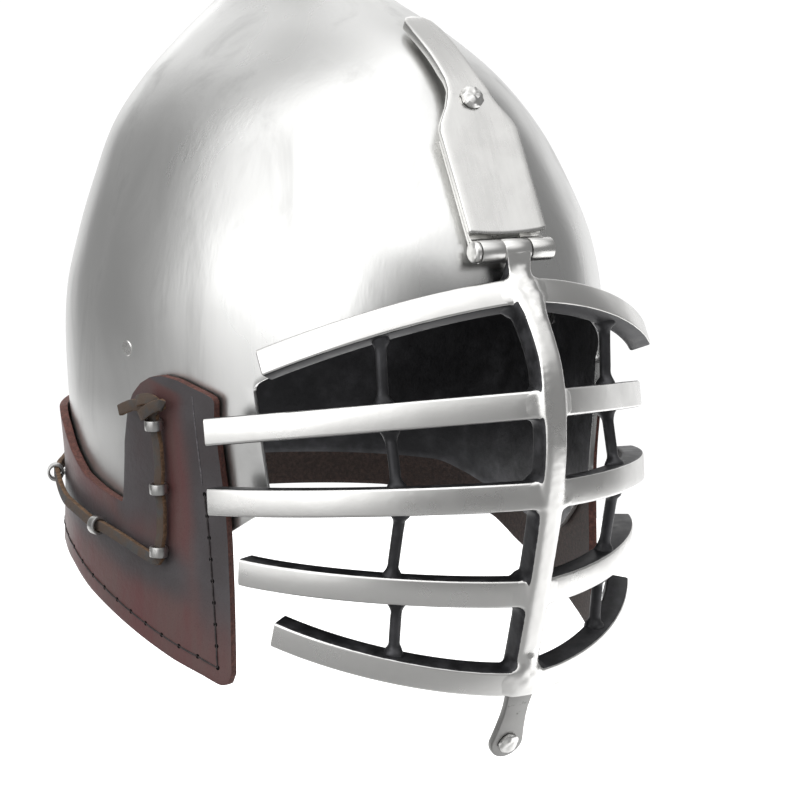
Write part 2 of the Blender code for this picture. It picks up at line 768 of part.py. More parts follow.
def collar_out(level):
    """Gap between the skull and the collar's inner face, which flares below the staples."""
    share = min(max((COLLAR_TOP - 0.35 * COLLAR_HEIGHT - level) / (0.65 * COLLAR_HEIGHT), 0.0), 1.0)
    return COLLAR_GAP + COLLAR_FLARE * share ** 2


def make_collar():
    top = COLLAR_TOP + 0.04 * COLLAR_HEIGHT
    bottom = COLLAR_TOP - 1.04 * COLLAR_HEIGHT
    levels = [top + (bottom - top) * step / 7 for step in range(8)]
    turns = [math.tau * side / COLLAR_SIDES for side in range(COLLAR_SIDES)]
    outer = [[skull_point(level, turn, collar_out(level) + COLLAR_WALL) for turn in turns]
             for level in levels]
    inner = [[skull_point(level, turn, collar_out(level)) for turn in turns] for level in levels]
    inner[0] = [point + Vector((0, 0, COLLAR_WALL)) for point in inner[0]]
    inner[-1] = [point - Vector((0, 0, COLLAR_WALL)) for point in inner[-1]]
    collar = add_object("leather_collar", loft(bmesh.new(), outer), LEATHER)
    combine(collar, cutter("collar_hollow", loft(bmesh.new(), inner)), "DIFFERENCE")
    corners = [(setback * SKULL_DEPTH / 2, COLLAR_TOP - (1 - level) * COLLAR_HEIGHT,
                turn * COLLAR_HEIGHT) for setback, level, turn in COLLAR_EDGE]
    combine(collar, cutter("collar_edge", prism(rounded(corners), SKULL_WIDTH)), "INTERSECT")
    for side in (-1, 1):
        for number, staple in enumerate(STAPLES, 1):
            face, out, along = staple_frame(staple, side)
            hole = add_cylinder(bmesh.new(), face - out * 3 * COLLAR_WALL, face + out * COLLAR_WALL,
                                STAPLE_POST / 2 + 1.6 * CLEARANCE, 6)
            combine(collar, cutter(f"collar_hole_{number}_{side_name(side)}", hole), "DIFFERENCE")
    return collar


def staple_frame(staple, side):
    """Where a staple stands on the collar's outer face, with the way out and the way of its bore."""
    turn, drop, along = staple
    level = BROW_LEVEL - drop * SKIRT_HEIGHT
    out_by = collar_out(level) + COLLAR_WALL
    angle = math.radians(turn) * side
    face = skull_point(level, angle, out_by)
    out = skull_normal(level, angle, out_by)
    level_way = Vector((-out.y, out.x, 0)).normalized() * -side
    way = level_way.cross(out).normalized() * side if along == "up" else level_way
    return face, out, way


def make_staple(number, side):
    face, out, along = staple_frame(STAPLES[number - 1], side)
    outer, bore = STAPLE_DIAMETER / 2, STAPLE_BORE / 2
    centre = face + out * (outer + CLEARANCE)
    ends = centre - along * STAPLE_LENGTH / 2, centre + along * STAPLE_LENGTH / 2
    name = f"staple_{number}_{side_name(side)}"
    staple = add_object(name, add_cylinder(bmesh.new(), *ends, outer, 12), STEEL)
    seat = face - out * (collar_out(face.z) + COLLAR_WALL - CLEARANCE)
    post = add_cylinder(bmesh.new(), seat, face + out * (CLEARANCE + 0.5 * (outer - bore)),
                        STAPLE_POST / 2, 6)
    combine(staple, cutter(f"{name}_post", post), "UNION")
    hole = add_cylinder(bmesh.new(), centre - along * STAPLE_LENGTH, centre + along * STAPLE_LENGTH,
                        bore, 10)
    combine(staple, cutter(f"{name}_bore", hole), "DIFFERENCE")
    return staple


def lace_side(side):
    """Route of one half of the lace, from the knot down and round to the nape."""
    route = []
    rise = STAPLE_DIAMETER / 2 + CLEARANCE - (STAPLE_BORE - LACE_DIAMETER) / 2 + CLEARANCE
    frames = [staple_frame(staple, side) for staple in STAPLES]
    for index, (face, out, along) in enumerate(frames):
        here, step = face + out * rise, along * STAPLE_LENGTH
        route += [here + step * (0.5 if index else 0.85), here - step * (0.5 if index else 0.85)]
        if index == 2:
            corner = here - step * 1.25
            toward = (frames[3][0] - face).normalized()
            route += [corner + toward * 0.0012, corner + toward * 0.0050]
            route += between(STAPLES[2], STAPLES[3], side, dip=0.10)[1:]
        elif index < len(frames) - 1:
            route += between(STAPLES[index], STAPLES[index + 1], side)
    return route


def between(staple, following, side, dip=0.0):
    """Points of the lace that lie on the leather between two staples."""
    points = []
    for share in (0.3, 0.5, 0.7):
        turn = staple[0] + (following[0] - staple[0]) * share
        drop = staple[1] + (following[1] - staple[1]) * share + dip * (1 - share) ** 2
        level = BROW_LEVEL - drop * SKIRT_HEIGHT
        points.append(skull_point(level, math.radians(turn) * side,
                                  collar_out(level) + COLLAR_WALL + LACE_LIFT))
    return points


def make_lace():
    right, left = lace_side(-1), lace_side(1)
    level = BROW_LEVEL - STAPLES[-1][1] * SKIRT_HEIGHT
    nape = skull_point(level, math.pi, collar_out(level) + COLLAR_WALL + LACE_LIFT)
    route = smooth_path(right + [nape] + left[::-1], LACE_SPACING)
    curve = bpy.data.curves.new("lace", "CURVE")
    curve.dimensions = "3D"
    curve.bevel_depth = LACE_DIAMETER / 2
    curve.bevel_resolution = 2
    curve.use_fill_caps = True
    spline = curve.splines.new("POLY")
    spline.points.add(len(route) - 1)
    for point, spot in zip(spline.points, route):
        point.co = (*spot, 1.0)
    curve.materials.append(LACE_LEATHER)
    lace = bpy.data.objects.new("lace", curve)
    bpy.context.collection.objects.link(lace)
    return lace


def make_knot(side):
    """Lump of the tied knot above the top staple, with its short tail lying back over the leather."""
    _, out, along = staple_frame(STAPLES[0], side)
    start = lace_side(side)[0]
    back_way = Vector((-out.y, out.x, 0)).normalized() * side
    half = KNOT_LENGTH / 2
    centre = start + along * (half * 0.62 + CLEARANCE) + out * 0.0006
    turn = Matrix((back_way, along, out)).transposed().to_4x4()
    bm = bmesh.new()
    bmesh.ops.create_icosphere(bm, subdivisions=2, radius=half,
                               matrix=Matrix.Translation(centre) @ turn @ Matrix.Diagonal((1, 0.62, 0.62, 1)))
    knot = add_object(f"lace_knot_{side_name(side)}", bm, LACE_LEATHER)
    tail_end = centre + back_way * (half * 0.7 + KNOT_TAIL) - along * 0.0015 - out * 0.0002
    tail = add_cylinder(bmesh.new(), centre + back_way * half * 0.4, tail_end, LACE_DIAMETER / 2, 8)
    combine(knot, cutter(f"lace_tail_{side_name(side)}", tail), "UNION")
    return knot


# The assembly

def clear_scene():
    for thing in list(bpy.data.objects):
        bpy.data.objects.remove(thing, do_unlink=True)


def hang_on_pivot(name, place, way, things):
    """Hangs moving pieces on an empty that stands on their joint's axis."""
    pivot = bpy.data.objects.new(name, None)
    bpy.context.collection.objects.link(pivot)
    pivot.matrix_world = Matrix.Translation(place) @ Vector(way).to_track_quat("Z", "Y").to_matrix().to_4x4()
    bpy.context.view_layer.update()
    for thing in things:
        thing.parent = pivot
        thing.matrix_parent_inverse = pivot.matrix_world.inverted()


clear_scene()
STEEL = material("brushed_steel", (0.62, 0.63, 0.64), 0.28, 1.0)
BRIGHT_STEEL = material("bright_steel", (0.72, 0.72, 0.71), 0.22, 1.0)
DARK_STEEL = material("dark_steel", (0.12, 0.12, 0.12), 0.45, 1.0)
LEATHER = material("oxblood_leather", (0.13, 0.035, 0.035), 0.5, 0.0)
LACE_LEATHER = material("lace_leather", (0.20, 0.14, 0.10), 0.7, 0.0)

make_skull()
for wearer_side in (-1, 1):
    make_skull_rivet(wearer_side)
    make_knot(wearer_side)
    for staple_number in range(1, len(STAPLES) + 1):
        make_staple(staple_number, wearer_side)
make_collar()
make_lace()
make_leaf()
make_pin()
make_spacer()
make_clip_rivet()
clip_piece = make_clip()
rivet_centre, clip_up, clip_out = clip_rivet_place()
hang_on_pivot("clip_pivot", rivet_centre, clip_out, [clip_piece])
hang_on_pivot("visor_pivot", pin_place(), (1, 0, 0), [make_visor(), make_stud()])
bpy.context.view_layer.update()
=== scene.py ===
import math

import bmesh
import bpy
from bpy.props import FloatProperty, FloatVectorProperty, PointerProperty
from mathutils import Matrix, Vector, noise


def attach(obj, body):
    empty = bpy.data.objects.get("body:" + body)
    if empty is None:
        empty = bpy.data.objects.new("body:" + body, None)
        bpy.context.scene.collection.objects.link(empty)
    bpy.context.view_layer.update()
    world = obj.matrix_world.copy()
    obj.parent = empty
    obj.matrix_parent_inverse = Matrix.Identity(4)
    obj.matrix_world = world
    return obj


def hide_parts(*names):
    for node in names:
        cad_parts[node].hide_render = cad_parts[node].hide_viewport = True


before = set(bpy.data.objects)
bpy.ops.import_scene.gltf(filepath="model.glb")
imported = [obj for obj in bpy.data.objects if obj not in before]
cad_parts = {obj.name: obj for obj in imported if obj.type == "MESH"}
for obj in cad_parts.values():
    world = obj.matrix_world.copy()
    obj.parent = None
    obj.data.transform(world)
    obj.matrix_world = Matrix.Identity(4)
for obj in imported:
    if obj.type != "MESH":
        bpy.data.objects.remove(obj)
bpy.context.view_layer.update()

bl_info = {
    "name": "Bascinet dresser",
    "version": (1, 0, 0),
    "blender": (4, 5, 0),
    "location": "3D View > Sidebar > Bascinet",
    "description": "Dresses the packed bascinet in brushed steel, ground bars and stained leather",
    "category": "Object",
}

MM = 0.001

# Sections of the skull, from the skirt to the apex, as shares of the crown, skirt, width and depth
SKULL_SECTIONS = (
    # rise, half, front, back, widest
    (-1.000, 0.957, -0.970, 1.007, 0.274),
    (-0.667, 0.957, -0.988, 1.002, 0.274),
    (-0.333, 0.989, -0.998, 0.997, 0.274),
    (0.000, 1.000, -0.978, 0.943, 0.267),
    (0.167, 0.951, -0.940, 0.881, 0.267),
    (0.306, 0.875, -0.853, 0.853, 0.281),
    (0.444, 0.772, -0.744, 0.821, 0.316),
    (0.567, 0.615, -0.614, 0.784, 0.345),
    (0.667, 0.440, -0.437, 0.750, 0.374),
    (0.750, 0.290, -0.190, 0.690, 0.385),
    (0.822, 0.185, 0.040, 0.580, 0.375),
    (0.889, 0.105, 0.175, 0.459, 0.350),
    (0.961, 0.046, 0.262, 0.359, 0.324),
    (1.000, 0.010, 0.300, 0.318, 0.309),
)

# Hem of the skull behind the cheek: setback as a share of half the depth, drop of the skirt
HEM_LINE = (
    # setback, drop
    (-0.36, 0.830),
    (-0.17, 0.985),
    (0.06, 0.992),
    (0.28, 0.940),
    (0.58, 0.825),
    (1.30, 0.795),
)

# Bars from the brow down, as in the part's visor
BARS = (
    # level, reach, fall, span, sweep, turn, cusp
    (0.084, 0.29, -30.3, 0.878, 0.597, 56.9, 1.26),
    (0.322, 0.98, -9.5, 0.999, 0.998, 74.8, 1.63),
    (0.527, 0.95, -4.6, 0.980, 0.996, 80.1, 1.34),
    (0.759, 0.62, 4.7, 0.897, 0.786, 79.1, 1.37),
    (0.976, 0.36, 20.5, 0.811, 0.616, 64.7, 1.24),
)

# Front line of the central bar below the pin, with its width and its lumps of weld
SPINE_LINE = (
    # level, reach, width, lump
    (-0.016, 0.121, 1.14, 0.0),
    (0.000, 0.152, 1.14, 0.2),
    (0.030, 0.165, 1.02, 0.6),
    (0.055, 0.225, 1.02, 0.8),
    (0.080, 0.345, 1.20, 0.9),
    (0.106, 0.465, 1.16, 0.6),
    (0.137, 0.590, 1.04, 0.4),
    (0.188, 0.775, 0.98, 0.3),
    (0.242, 0.920, 1.00, 0.2),
    (0.310, 0.998, 1.06, 0.3),
    (0.390, 1.048, 0.98, 0.2),
    (0.464, 1.036, 0.98, 0.2),
    (0.577, 0.938, 1.02, 0.3),
    (0.697, 0.774, 0.98, 0.3),
    (0.810, 0.602, 1.00, 0.3),
    (0.918, 0.430, 1.02, 0.3),
    (0.992, 0.300, 1.06, 0.4),
)
ROD_PLACES = (1.008, 0.985, 0.966, 0.920)

# Outline and bend of the clip from its foot to its tip, as in the part's clip
CLIP_ROWS = (
    # lift, lean, half, tail
    (0.000, 29.0, 1.000, 0.0),
    (0.220, 29.0, 1.000, 0.0),
    (0.400, 29.0, 1.010, 0.0),
    (0.425, 29.0, 0.950, 0.0),
    (0.460, 29.0, 0.810, 0.0),
    (0.490, 29.0, 0.680, 0.0),
    (0.524, 29.0, 0.580, 0.0),
    (0.552, 29.0, 0.520, 0.0),
    (0.612, 46.0, 0.450, 1.0),
    (0.682, 51.0, 0.430, 1.0),
    (0.751, 54.0, 0.420, 1.0),
    (0.821, 57.0, 0.420, 1.0),
    (0.891, 60.0, 0.410, 1.0),
    (0.955, 63.0, 0.370, 1.0),
    (0.985, 66.0, 0.250, 1.0),
    (1.000, 67.0, 0.100, 1.0),
)

# Upper edge of the collar behind its cheek flap, and its foot, seen from the side: setback as a share of
# half the skull's depth, level as a share of the collar's height
BAND_TOP = (
    # setback, level
    (0.030, 0.553),
    (0.153, 0.577),
    (0.280, 0.612),
    (0.390, 0.680),
    (0.470, 0.755),
    (0.580, 0.800),
    (0.800, 0.810),
    (1.200, 0.810),
)
COLLAR_FOOT = (
    # setback, level
    (-0.473, 0.000),
    (-0.364, 0.037),
    (-0.240, 0.070),
    (-0.097, 0.116),
    (0.039, 0.161),
    (0.233, 0.228),
    (0.366, 0.290),
    (0.509, 0.335),
    (0.800, 0.365),
    (1.200, 0.370),
)

# Staples of one side, from the knot down and round to the nape
STAPLES = (
    # turn, drop, along
    (68.3, 0.404, "up"),
    (68.5, 0.647, "up"),
    (68.5, 0.887, "up"),
    (83.8, 0.845, "round"),
    (113.0, 0.723, "round"),
    (139.0, 0.690, "round"),
    (166.0, 0.680, "round"),
)


# Sizes and colours

def length(label, note, value):
    return FloatProperty(name=label, description=note, default=value, subtype="DISTANCE", unit="LENGTH")


def colour(label, note, value):
    return FloatVectorProperty(name=label, description=note, default=value, subtype="COLOR", size=3)


class BascinetFormSettings(bpy.types.PropertyGroup):
    skull_width: length("Skull width", "Widest width of the steel skull", 0.218)
    skull_depth: length("Skull depth", "Depth of the steel skull at the skirt", 0.258)
    crown_height: length("Crown height", "Height from the brow to the apex", 0.165)
    skirt_height: length("Skirt height", "Height of the skirt below the brow", 0.110)
    brow_level: length("Brow level", "Level of the skull's widest section", -0.0875)
    skull_wall: length("Skull wall", "Thickness of the skull's sheet", 0.002)
    bar_height: length("Bar height", "Height of a visor bar's front face", 0.011)
    bar_depth: length("Bar depth", "Depth of a visor bar", 0.0094)
    leather_wall: length("Leather", "Thickness of the collar's leather", 0.0034)
    thong_width: length("Thong width", "Width of the flat lace", 0.0044)
    thong_thickness: length("Thong thickness", "Thickness of the flat lace", 0.0023)
    stitch_pitch: length("Stitch pitch", "Distance from one stitch hole to the next", 0.0102)


class BascinetFinishSettings(bpy.types.PropertyGroup):
    steel: colour("Skull steel", "Colour of the skull's brushed steel", (0.71, 0.71, 0.70))
    ground: colour("Ground steel", "Colour of the ground bright faces", (0.71, 0.705, 0.69))
    scale: colour("Forge scale", "Colour of the blackened sides", (0.028, 0.028, 0.03))
    oxblood: colour("Oxblood", "Colour of the collar's middle", (0.104, 0.040, 0.040))
    faded: colour("Faded oxblood", "Colour of the collar's paler streaks", (0.100, 0.058, 0.054))
    stain: colour("Stain", "Colour of the collar's dark borders", (0.042, 0.040, 0.043))
    raw_edge: colour("Raw edge", "Colour of the leather's cut edge", (0.15, 0.055, 0.042))
    flesh: colour("Flesh side", "Colour of the leather's inner side", (0.05, 0.028, 0.022))
    score: colour("Score", "Colour of the line scored in the collar", (0.16, 0.15, 0.16))
    thong: colour("Thong", "Colour of the lace", (0.095, 0.066, 0.048))
    thong_side: colour("Thong side", "Colour of the lace's cut sides", (0.150, 0.088, 0.048))
    thread: colour("Thread", "Colour of the stitching thread", (0.012, 0.009, 0.009))


class BascinetStageSettings(bpy.types.PropertyGroup):
    lens: FloatProperty(name="Lens", description="Focal length on a 36 mm sensor", default=136.2)
    camera_place: FloatVectorProperty(name="Camera", description="Where the camera stands", size=3,
                                      default=(-0.6466, -1.1067, 0.0536), subtype="TRANSLATION")
    key_power: FloatProperty(name="Key light", description="Power of the large soft light", default=2.2,
                             unit="POWER")
    floor_level: length("Floor", "Level of the floor", -0.36)
    pale: FloatProperty(name="Paleness", description="Brightness of the floor and the surroundings",
                        default=0.9, min=0.0, max=1.0)


def form():
    return bpy.context.scene.bascinet_form


def finish_settings():
    return bpy.context.scene.bascinet_finish


def half_depth():
    """Half the skull's depth, the unit of the side view's setbacks."""
    return form().skull_depth / 2


# Curves and sections

def smooth_value(rows, column, at):
    """Reads a table's column at a place in its first column, on a curve through the rows."""
    keys = [row[0] for row in rows]
    values = [row[column] for row in rows]
    at = min(max(at, keys[0]), keys[-1])
    place = max(index for index in range(len(keys) - 1) if keys[index] <= at)
    width = keys[place + 1] - keys[place]
    share = (at - keys[place]) / width

    def slope(index):
        before, after = max(index - 1, 0), min(index + 1, len(keys) - 1)
        return (values[after] - values[before]) / (keys[after] - keys[before])

    a, b = values[place], values[place + 1]
    c, d = slope(place) * width, slope(place + 1) * width
    return (a * (1 + 2 * share) * (1 - share) ** 2 + c * share * (1 - share) ** 2
            + b * share ** 2 * (3 - 2 * share) + d * share ** 2 * (share - 1))


def straight_value(rows, at):
    """Reads a table's second column at a place in its first, on straight lines."""
    for (a, value_a), (b, value_b) in zip(rows, rows[1:]):
        if at <= b:
            return value_a + (value_b - value_a) * max(0.0, (at - a) / (b - a))
    return rows[-1][1]


def ease(value, low, high):
    share = min(max((value - low) / (high - low), 0.0), 1.0)
    return share * share * (3 - 2 * share)


def way_along(path, index):
    """The way that a path runs at one of its points."""
    return (path[min(index + 1, len(path) - 1)] - path[max(index - 1, 0)]).normalized()


def smooth_path(points, spacing):
    """Points about a spacing apart on a smooth curve through the points given."""
    made = []
    for index in range(len(points) - 1):
        before = points[max(index - 1, 0)]
        start, end = points[index], points[index + 1]
        after = points[min(index + 2, len(points) - 1)]
        steps = max(1, round((end - start).length / spacing))
        for step in range(steps):
            t = step / steps
            made.append(0.5 * (2 * start + (end - before) * t
                               + (2 * before - 5 * start + 4 * end - after) * t * t
                               + (3 * start - before - 3 * end + after) * t ** 3))
    made.append(points[-1].copy())
    return made


KEEL_RISE = 0.0022
KEEL_HALF_WIDTH = 0.022


def skull_section(level):
    sizes = form()
    rise = level - sizes.brow_level
    share = rise / (sizes.crown_height if rise > 0 else sizes.skirt_height)
    half = smooth_value(SKULL_SECTIONS, 1, share) * sizes.skull_width / 2
    front, back, widest = (smooth_value(SKULL_SECTIONS, column, share) * sizes.skull_depth / 2
                           for column in (2, 3, 4))
    return half, front, back, widest


def skull_point(level, turn, out=0.0):
    """A point of the skull's outside, moved out of it; turn is the angle from straight ahead."""
    half, front, back, widest = skull_section(level)
    reach = (widest - front if math.cos(turn) > 0 else back - widest) + out
    x = (half + out) * math.sin(turn)
    y = widest - reach * math.cos(turn)
    if math.cos(turn) > 0:
        keel = min(max((level - form().brow_level) / form().crown_height, 0.0), 1.0) ** 2
        side = max(0.0, 1.0 - abs(x) / KEEL_HALF_WIDTH) ** 1.5
        y -= KEEL_RISE * keel * side * min(1.0, half / KEEL_HALF_WIDTH)
    return Vector((x, y, level))


def skull_normal(level, turn, out=0.0):
    small = 0.001
    round_step = skull_point(level, turn + 0.01, out) - skull_point(level, turn - 0.01, out)
    rise_step = skull_point(level + small, turn, out) - skull_point(level - small, turn, out)
    return round_step.cross(rise_step).normalized()


def turn_at(level, setback, out=0.0):
    """The angle at which the skull, moved out, is this far back."""
    _, front, back, widest = skull_section(level)
    reach = (widest - front if setback < widest else back - widest) + out
    return math.acos(min(1.0, max(-1.0, (widest - setback) / reach)))


# Mesh helpers

def add_piece(name, bm, finishes, body, stands_for, smooth_angle, merge=None):
    """Makes the mesh an object that rides on a body; a distance closes it first and merges its doubles."""
    if merge:
        close_shell(bm, merge)
    mesh = bpy.data.meshes.new(name)
    bm.to_mesh(mesh)
    bm.free()
    mesh.shade_smooth()
    if smooth_angle:
        mesh.set_sharp_from_angle(angle=math.radians(smooth_angle))
    for finish in finishes:
        mesh.materials.append(finish_of(finish))
    piece = bpy.data.objects.new(name, mesh)
    bpy.context.scene.collection.objects.link(piece)
    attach(piece, body)
    if stands_for:
        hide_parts(*stands_for)
    return piece


def thicken(piece, wall_size, edge_size, rim=0, inside=1):
    """Gives a sheet its wall, to the inside, and softens its cut edges."""
    wall = piece.modifiers.new("wall", "SOLIDIFY")
    wall.thickness = wall_size
    wall.offset = -1.0
    wall.material_offset_rim = rim
    wall.material_offset = inside
    edge = piece.modifiers.new("edge", "BEVEL")
    edge.width = edge_size
    edge.segments = 2
    edge.limit_method = "ANGLE"
    edge.angle_limit = math.radians(50)
    return piece


def join_sheets(bm, distance, axis, hole_above=math.inf):
    """Merges sheets that meet, fills a hole above a level and turns the faces outwards."""
    bmesh.ops.remove_doubles(bm, verts=bm.verts, dist=distance)
    bmesh.ops.dissolve_degenerate(bm, edges=bm.edges, dist=1e-5)
    hole = [edge for edge in bm.edges if edge.is_boundary
            and min(vert.co.z for vert in edge.verts) > hole_above]
    if hole:
        bmesh.ops.holes_fill(bm, edges=hole, sides=0)
    bmesh.ops.recalc_face_normals(bm, faces=bm.faces)
    furthest = max(bm.faces, key=lambda face: face.calc_center_median()[axis])
    if furthest.normal[axis] < 0:
        bmesh.ops.reverse_faces(bm, faces=bm.faces)


def add_grid(bm, columns, rows, place, material=0):
    """A sheet of quads whose point at (across, along), each from 0 to 1, is given by place."""
    made = bmesh.ops.create_grid(bm, x_segments=columns, y_segments=rows, size=1.0)["verts"]
    shares = [((vert.co.x + 1) / 2, (vert.co.y + 1) / 2) for vert in made]
    for vert, (across, along) in zip(made, shares):
        vert.co = place(across, along)
        for face in vert.link_faces:
            face.material_index = material
    return list(zip(made, shares))


def close_shell(bm, distance=1e-5):
    """Merges the doubles, fills what is still open and turns the faces outwards."""
    bmesh.ops.remove_doubles(bm, verts=bm.verts, dist=distance)
    bmesh.ops.dissolve_degenerate(bm, edges=bm.edges, dist=distance)
    bmesh.ops.holes_fill(bm, edges=[edge for edge in bm.edges if edge.is_boundary], sides=0)
    bmesh.ops.recalc_face_normals(bm, faces=bm.faces)


# Materials

class Nodes:
    """A short way to wire the nodes of a material or of the world."""

    def __init__(self, name, kept_in=None, shader="Principled BSDF", place="Object"):
        self.made = (bpy.data.materials if kept_in is None else kept_in).new(name)
        self.made.use_nodes = True
        self.tree = self.made.node_tree
        self.shader = self.tree.nodes[shader]
        self.place = self.tree.nodes.new("ShaderNodeTexCoord").outputs[place]

    def fill(self, socket, value):
        """Gives a socket a number, a colour, a vector or another node's output."""
        if isinstance(value, bpy.types.NodeSocket):
            self.tree.links.new(value, socket)
        elif socket.type == "RGBA":
            socket.default_value = (*value, 1.0)
        else:
            socket.default_value = value

    def add(self, kind, output, inputs, **settings):
        """A node with its settings and inputs; gives back the output of that name or number."""
        node = self.tree.nodes.new(kind)
        for key, value in settings.items():
            setattr(node, key, value)
        for key, value in inputs.items():
            self.fill(node.inputs[key], value)
        return node.outputs[output]

    def stretch(self, scale):
        return self.add("ShaderNodeMapping", "Vector", {"Vector": self.place, "Scale": scale})

    def noise(self, scale, detail=4.0, roughness=0.55, place=None, distortion=0.0):
        inputs = {"Vector": place or self.place, "Scale": scale, "Detail": detail, "Roughness": roughness,
                  "Distortion": distortion}
        return self.add("ShaderNodeTexNoise", "Fac", inputs)

    def cells(self, scale, feature="F1"):
        inputs = {"Vector": self.place, "Scale": scale}
        return self.add("ShaderNodeTexVoronoi", "Distance", inputs, feature=feature)

    def toward(self, way):
        """How far a place lies along a way."""
        return self.add("ShaderNodeVectorMath", "Value", {0: self.place, 1: way}, operation="DOT_PRODUCT")

    def spread(self, value, low, high, to_low=0.0, to_high=1.0):
        return self.add("ShaderNodeMapRange", "Result", {"Value": value, "From Min": low, "From Max": high,
                                                         "To Min": to_low, "To Max": to_high},
                        interpolation_type="SMOOTHSTEP")

    def maths(self, operation, a, b):
        return self.add("ShaderNodeMath", "Value", {0: a, 1: b}, operation=operation)

    def sway(self, value, by, amount):
        """A value moved up and down by a noise's swing about its middle."""
        return self.maths("ADD", value, self.maths("MULTIPLY", self.maths("SUBTRACT", by, 0.5), amount))

    def mix(self, share, a, b):
        """A colour, or a number held as one, between two others."""
        return self.add("ShaderNodeMix", 2, {"Factor": share, 6: a, 7: b}, data_type="RGBA")

    def blotched(self, base, first, second, by, low, high, most=1.0):
        """A colour that goes from one multiple of the base to another as a noise rises."""
        return self.mix(self.spread(by, low, high, 0.0, most), scaled(base, first), scaled(base, second))

    def attribute(self, name):
        return self.add("ShaderNodeAttribute", "Fac", {}, attribute_name=name)

    def bump(self, height, strength, distance, normal=None):
        inputs = {"Height": height, "Strength": strength, "Distance": distance}
        if normal is not None:
            inputs["Normal"] = normal
        return self.add("ShaderNodeBump", "Normal", inputs)

    def out(self, **sockets):
        for name, value in sockets.items():
            self.fill(self.shader.inputs[name.replace("_", " ")], value)
        return self.made


def scaled(colour, by):
    return tuple(by * part for part in colour)


def brushed_skull_steel():
    made = Nodes("brushed_skull_steel")
    colour = finish_settings().steel
    streaks = made.noise(1.0, 6.0, 0.6, made.stretch((420, 420, 26)))
    broad = made.noise(9.0, 3.0, 0.5, made.stretch((1, 1, 0.45)))
    smudge = made.noise(38.0, 5.0, 0.6, made.stretch((1, 1, 0.35)), 0.6)
    waves = made.noise(34.0, 2.0, 0.5, made.stretch((1, 1, 0.5)))
    shade = made.blotched(colour, 1.0, 0.80, broad, 0.3, 0.75, 0.35)
    shade = made.mix(made.spread(smudge, 0.50, 0.76, 0.0, 0.42), shade, scaled(colour, 0.52))
    rough = made.maths("ADD", made.spread(broad, 0.3, 0.7, 0.23, 0.35),
                       made.spread(smudge, 0.4, 0.8, 0.0, 0.07))
    height = made.bump(waves, 0.08, 0.003, made.bump(streaks, 0.15, 0.0004))
    return made.out(Base_Color=shade, Metallic=1.0, Roughness=rough, Normal=height)


def ground_steel(name, across=(60, 420, 420), smooth=0.24, tone=1.0, spots=0.0):
    """Steel ground bright, with fine lines, a little unevenness and dark spots if asked for."""
    made = Nodes(name)
    lines = made.noise(1.0, 5.0, 0.6, made.stretch(across))
    cloud = made.noise(45.0, 4.0, 0.55)
    shade = made.blotched(scaled(finish_settings().ground, tone), 1.0, 0.78, cloud, 0.35, 0.8, 0.4)
    if spots:
        pitted = made.spread(made.noise(210.0, 4.0, 0.6), 0.60, 0.70, 0.0, spots)
        shade = made.mix(pitted, shade, (0.10, 0.10, 0.09))
    rough = made.maths("ADD", made.spread(cloud, 0.3, 0.75, smooth - 0.03, smooth + 0.08),
                       made.spread(lines, 0.3, 0.8, 0.0, 0.05))
    height = made.bump(made.noise(80.0, 1.0, 0.5), 0.05, 0.0012, made.bump(lines, 0.14, 0.0003))
    return made.out(Base_Color=shade, Metallic=1.0, Roughness=rough, Normal=height)


def visor_steel():
    """Bright faces and blackened sides, told apart by how far a point faces the front."""
    made = Nodes("visor_steel")
    settings = finish_settings()
    grain = made.noise(160.0, 5.0, 0.65)
    lines = made.noise(1.0, 5.0, 0.6, made.stretch((60, 420, 420)))
    cloud = made.noise(45.0, 4.0, 0.55)
    share = made.spread(made.sway(made.attribute("bright"), grain, 0.5), 0.42, 0.58)
    colour = made.mix(share, made.blotched(settings.scale, 1.0, 2.6, grain, 0.35, 0.75),
                      made.blotched(settings.ground, 1.0, 0.80, cloud, 0.35, 0.8, 0.4))
    metal = made.spread(share, 0.0, 1.0, 0.65, 1.0)
    rough = made.mix(share, made.spread(grain, 0.3, 0.8, 0.42, 0.62),
                     made.spread(cloud, 0.3, 0.75, 0.26, 0.36))
    height = made.bump(made.noise(70.0, 1.0, 0.5), 0.05, 0.0012, made.bump(lines, 0.14, 0.0003))
    return made.out(Base_Color=colour, Metallic=metal, Roughness=rough, Normal=height)


def black_scale(name="black_scale", lift=1.0):
    made = Nodes(name)
    grain = made.noise(190.0, 6.0, 0.65)
    colour = made.blotched(finish_settings().scale, lift, lift * 2.4, made.noise(38.0, 4.0, 0.6), 0.4, 0.75)
    return made.out(Base_Color=colour, Metallic=0.7, Roughness=made.spread(grain, 0.3, 0.8, 0.38, 0.6),
                    Normal=made.bump(grain, 0.35, 0.0006))


def stained_leather():
    made = Nodes("stained_leather")
    settings = finish_settings()
    cloud = made.noise(30.0, 5.0, 0.6)
    streak = made.noise(1.0, 4.0, 0.6, made.stretch((90, 90, 18)))
    pores, grain = made.cells(900.0), made.cells(420.0, "SMOOTH_F1")
    share = made.spread(made.sway(made.attribute("stain"), cloud, 0.7), 0.0, 1.0, 0.0, 0.92)
    red = made.mix(made.spread(streak, 0.3, 0.75), settings.oxblood, settings.faded)
    colour = made.mix(share, red, made.blotched(settings.stain, 1.0, 1.5, cloud, 0.35, 0.7))
    colour = made.mix(made.spread(pores, 0.0, 0.28, 0.35, 0.0), colour, (0.01, 0.006, 0.006))
    height = made.bump(pores, 0.12, 0.0003, made.bump(grain, 0.16, 0.0005))
    return made.out(Base_Color=colour, Roughness=made.spread(cloud, 0.3, 0.75, 0.36, 0.48),
                    Specular_IOR_Level=0.42, Normal=height)


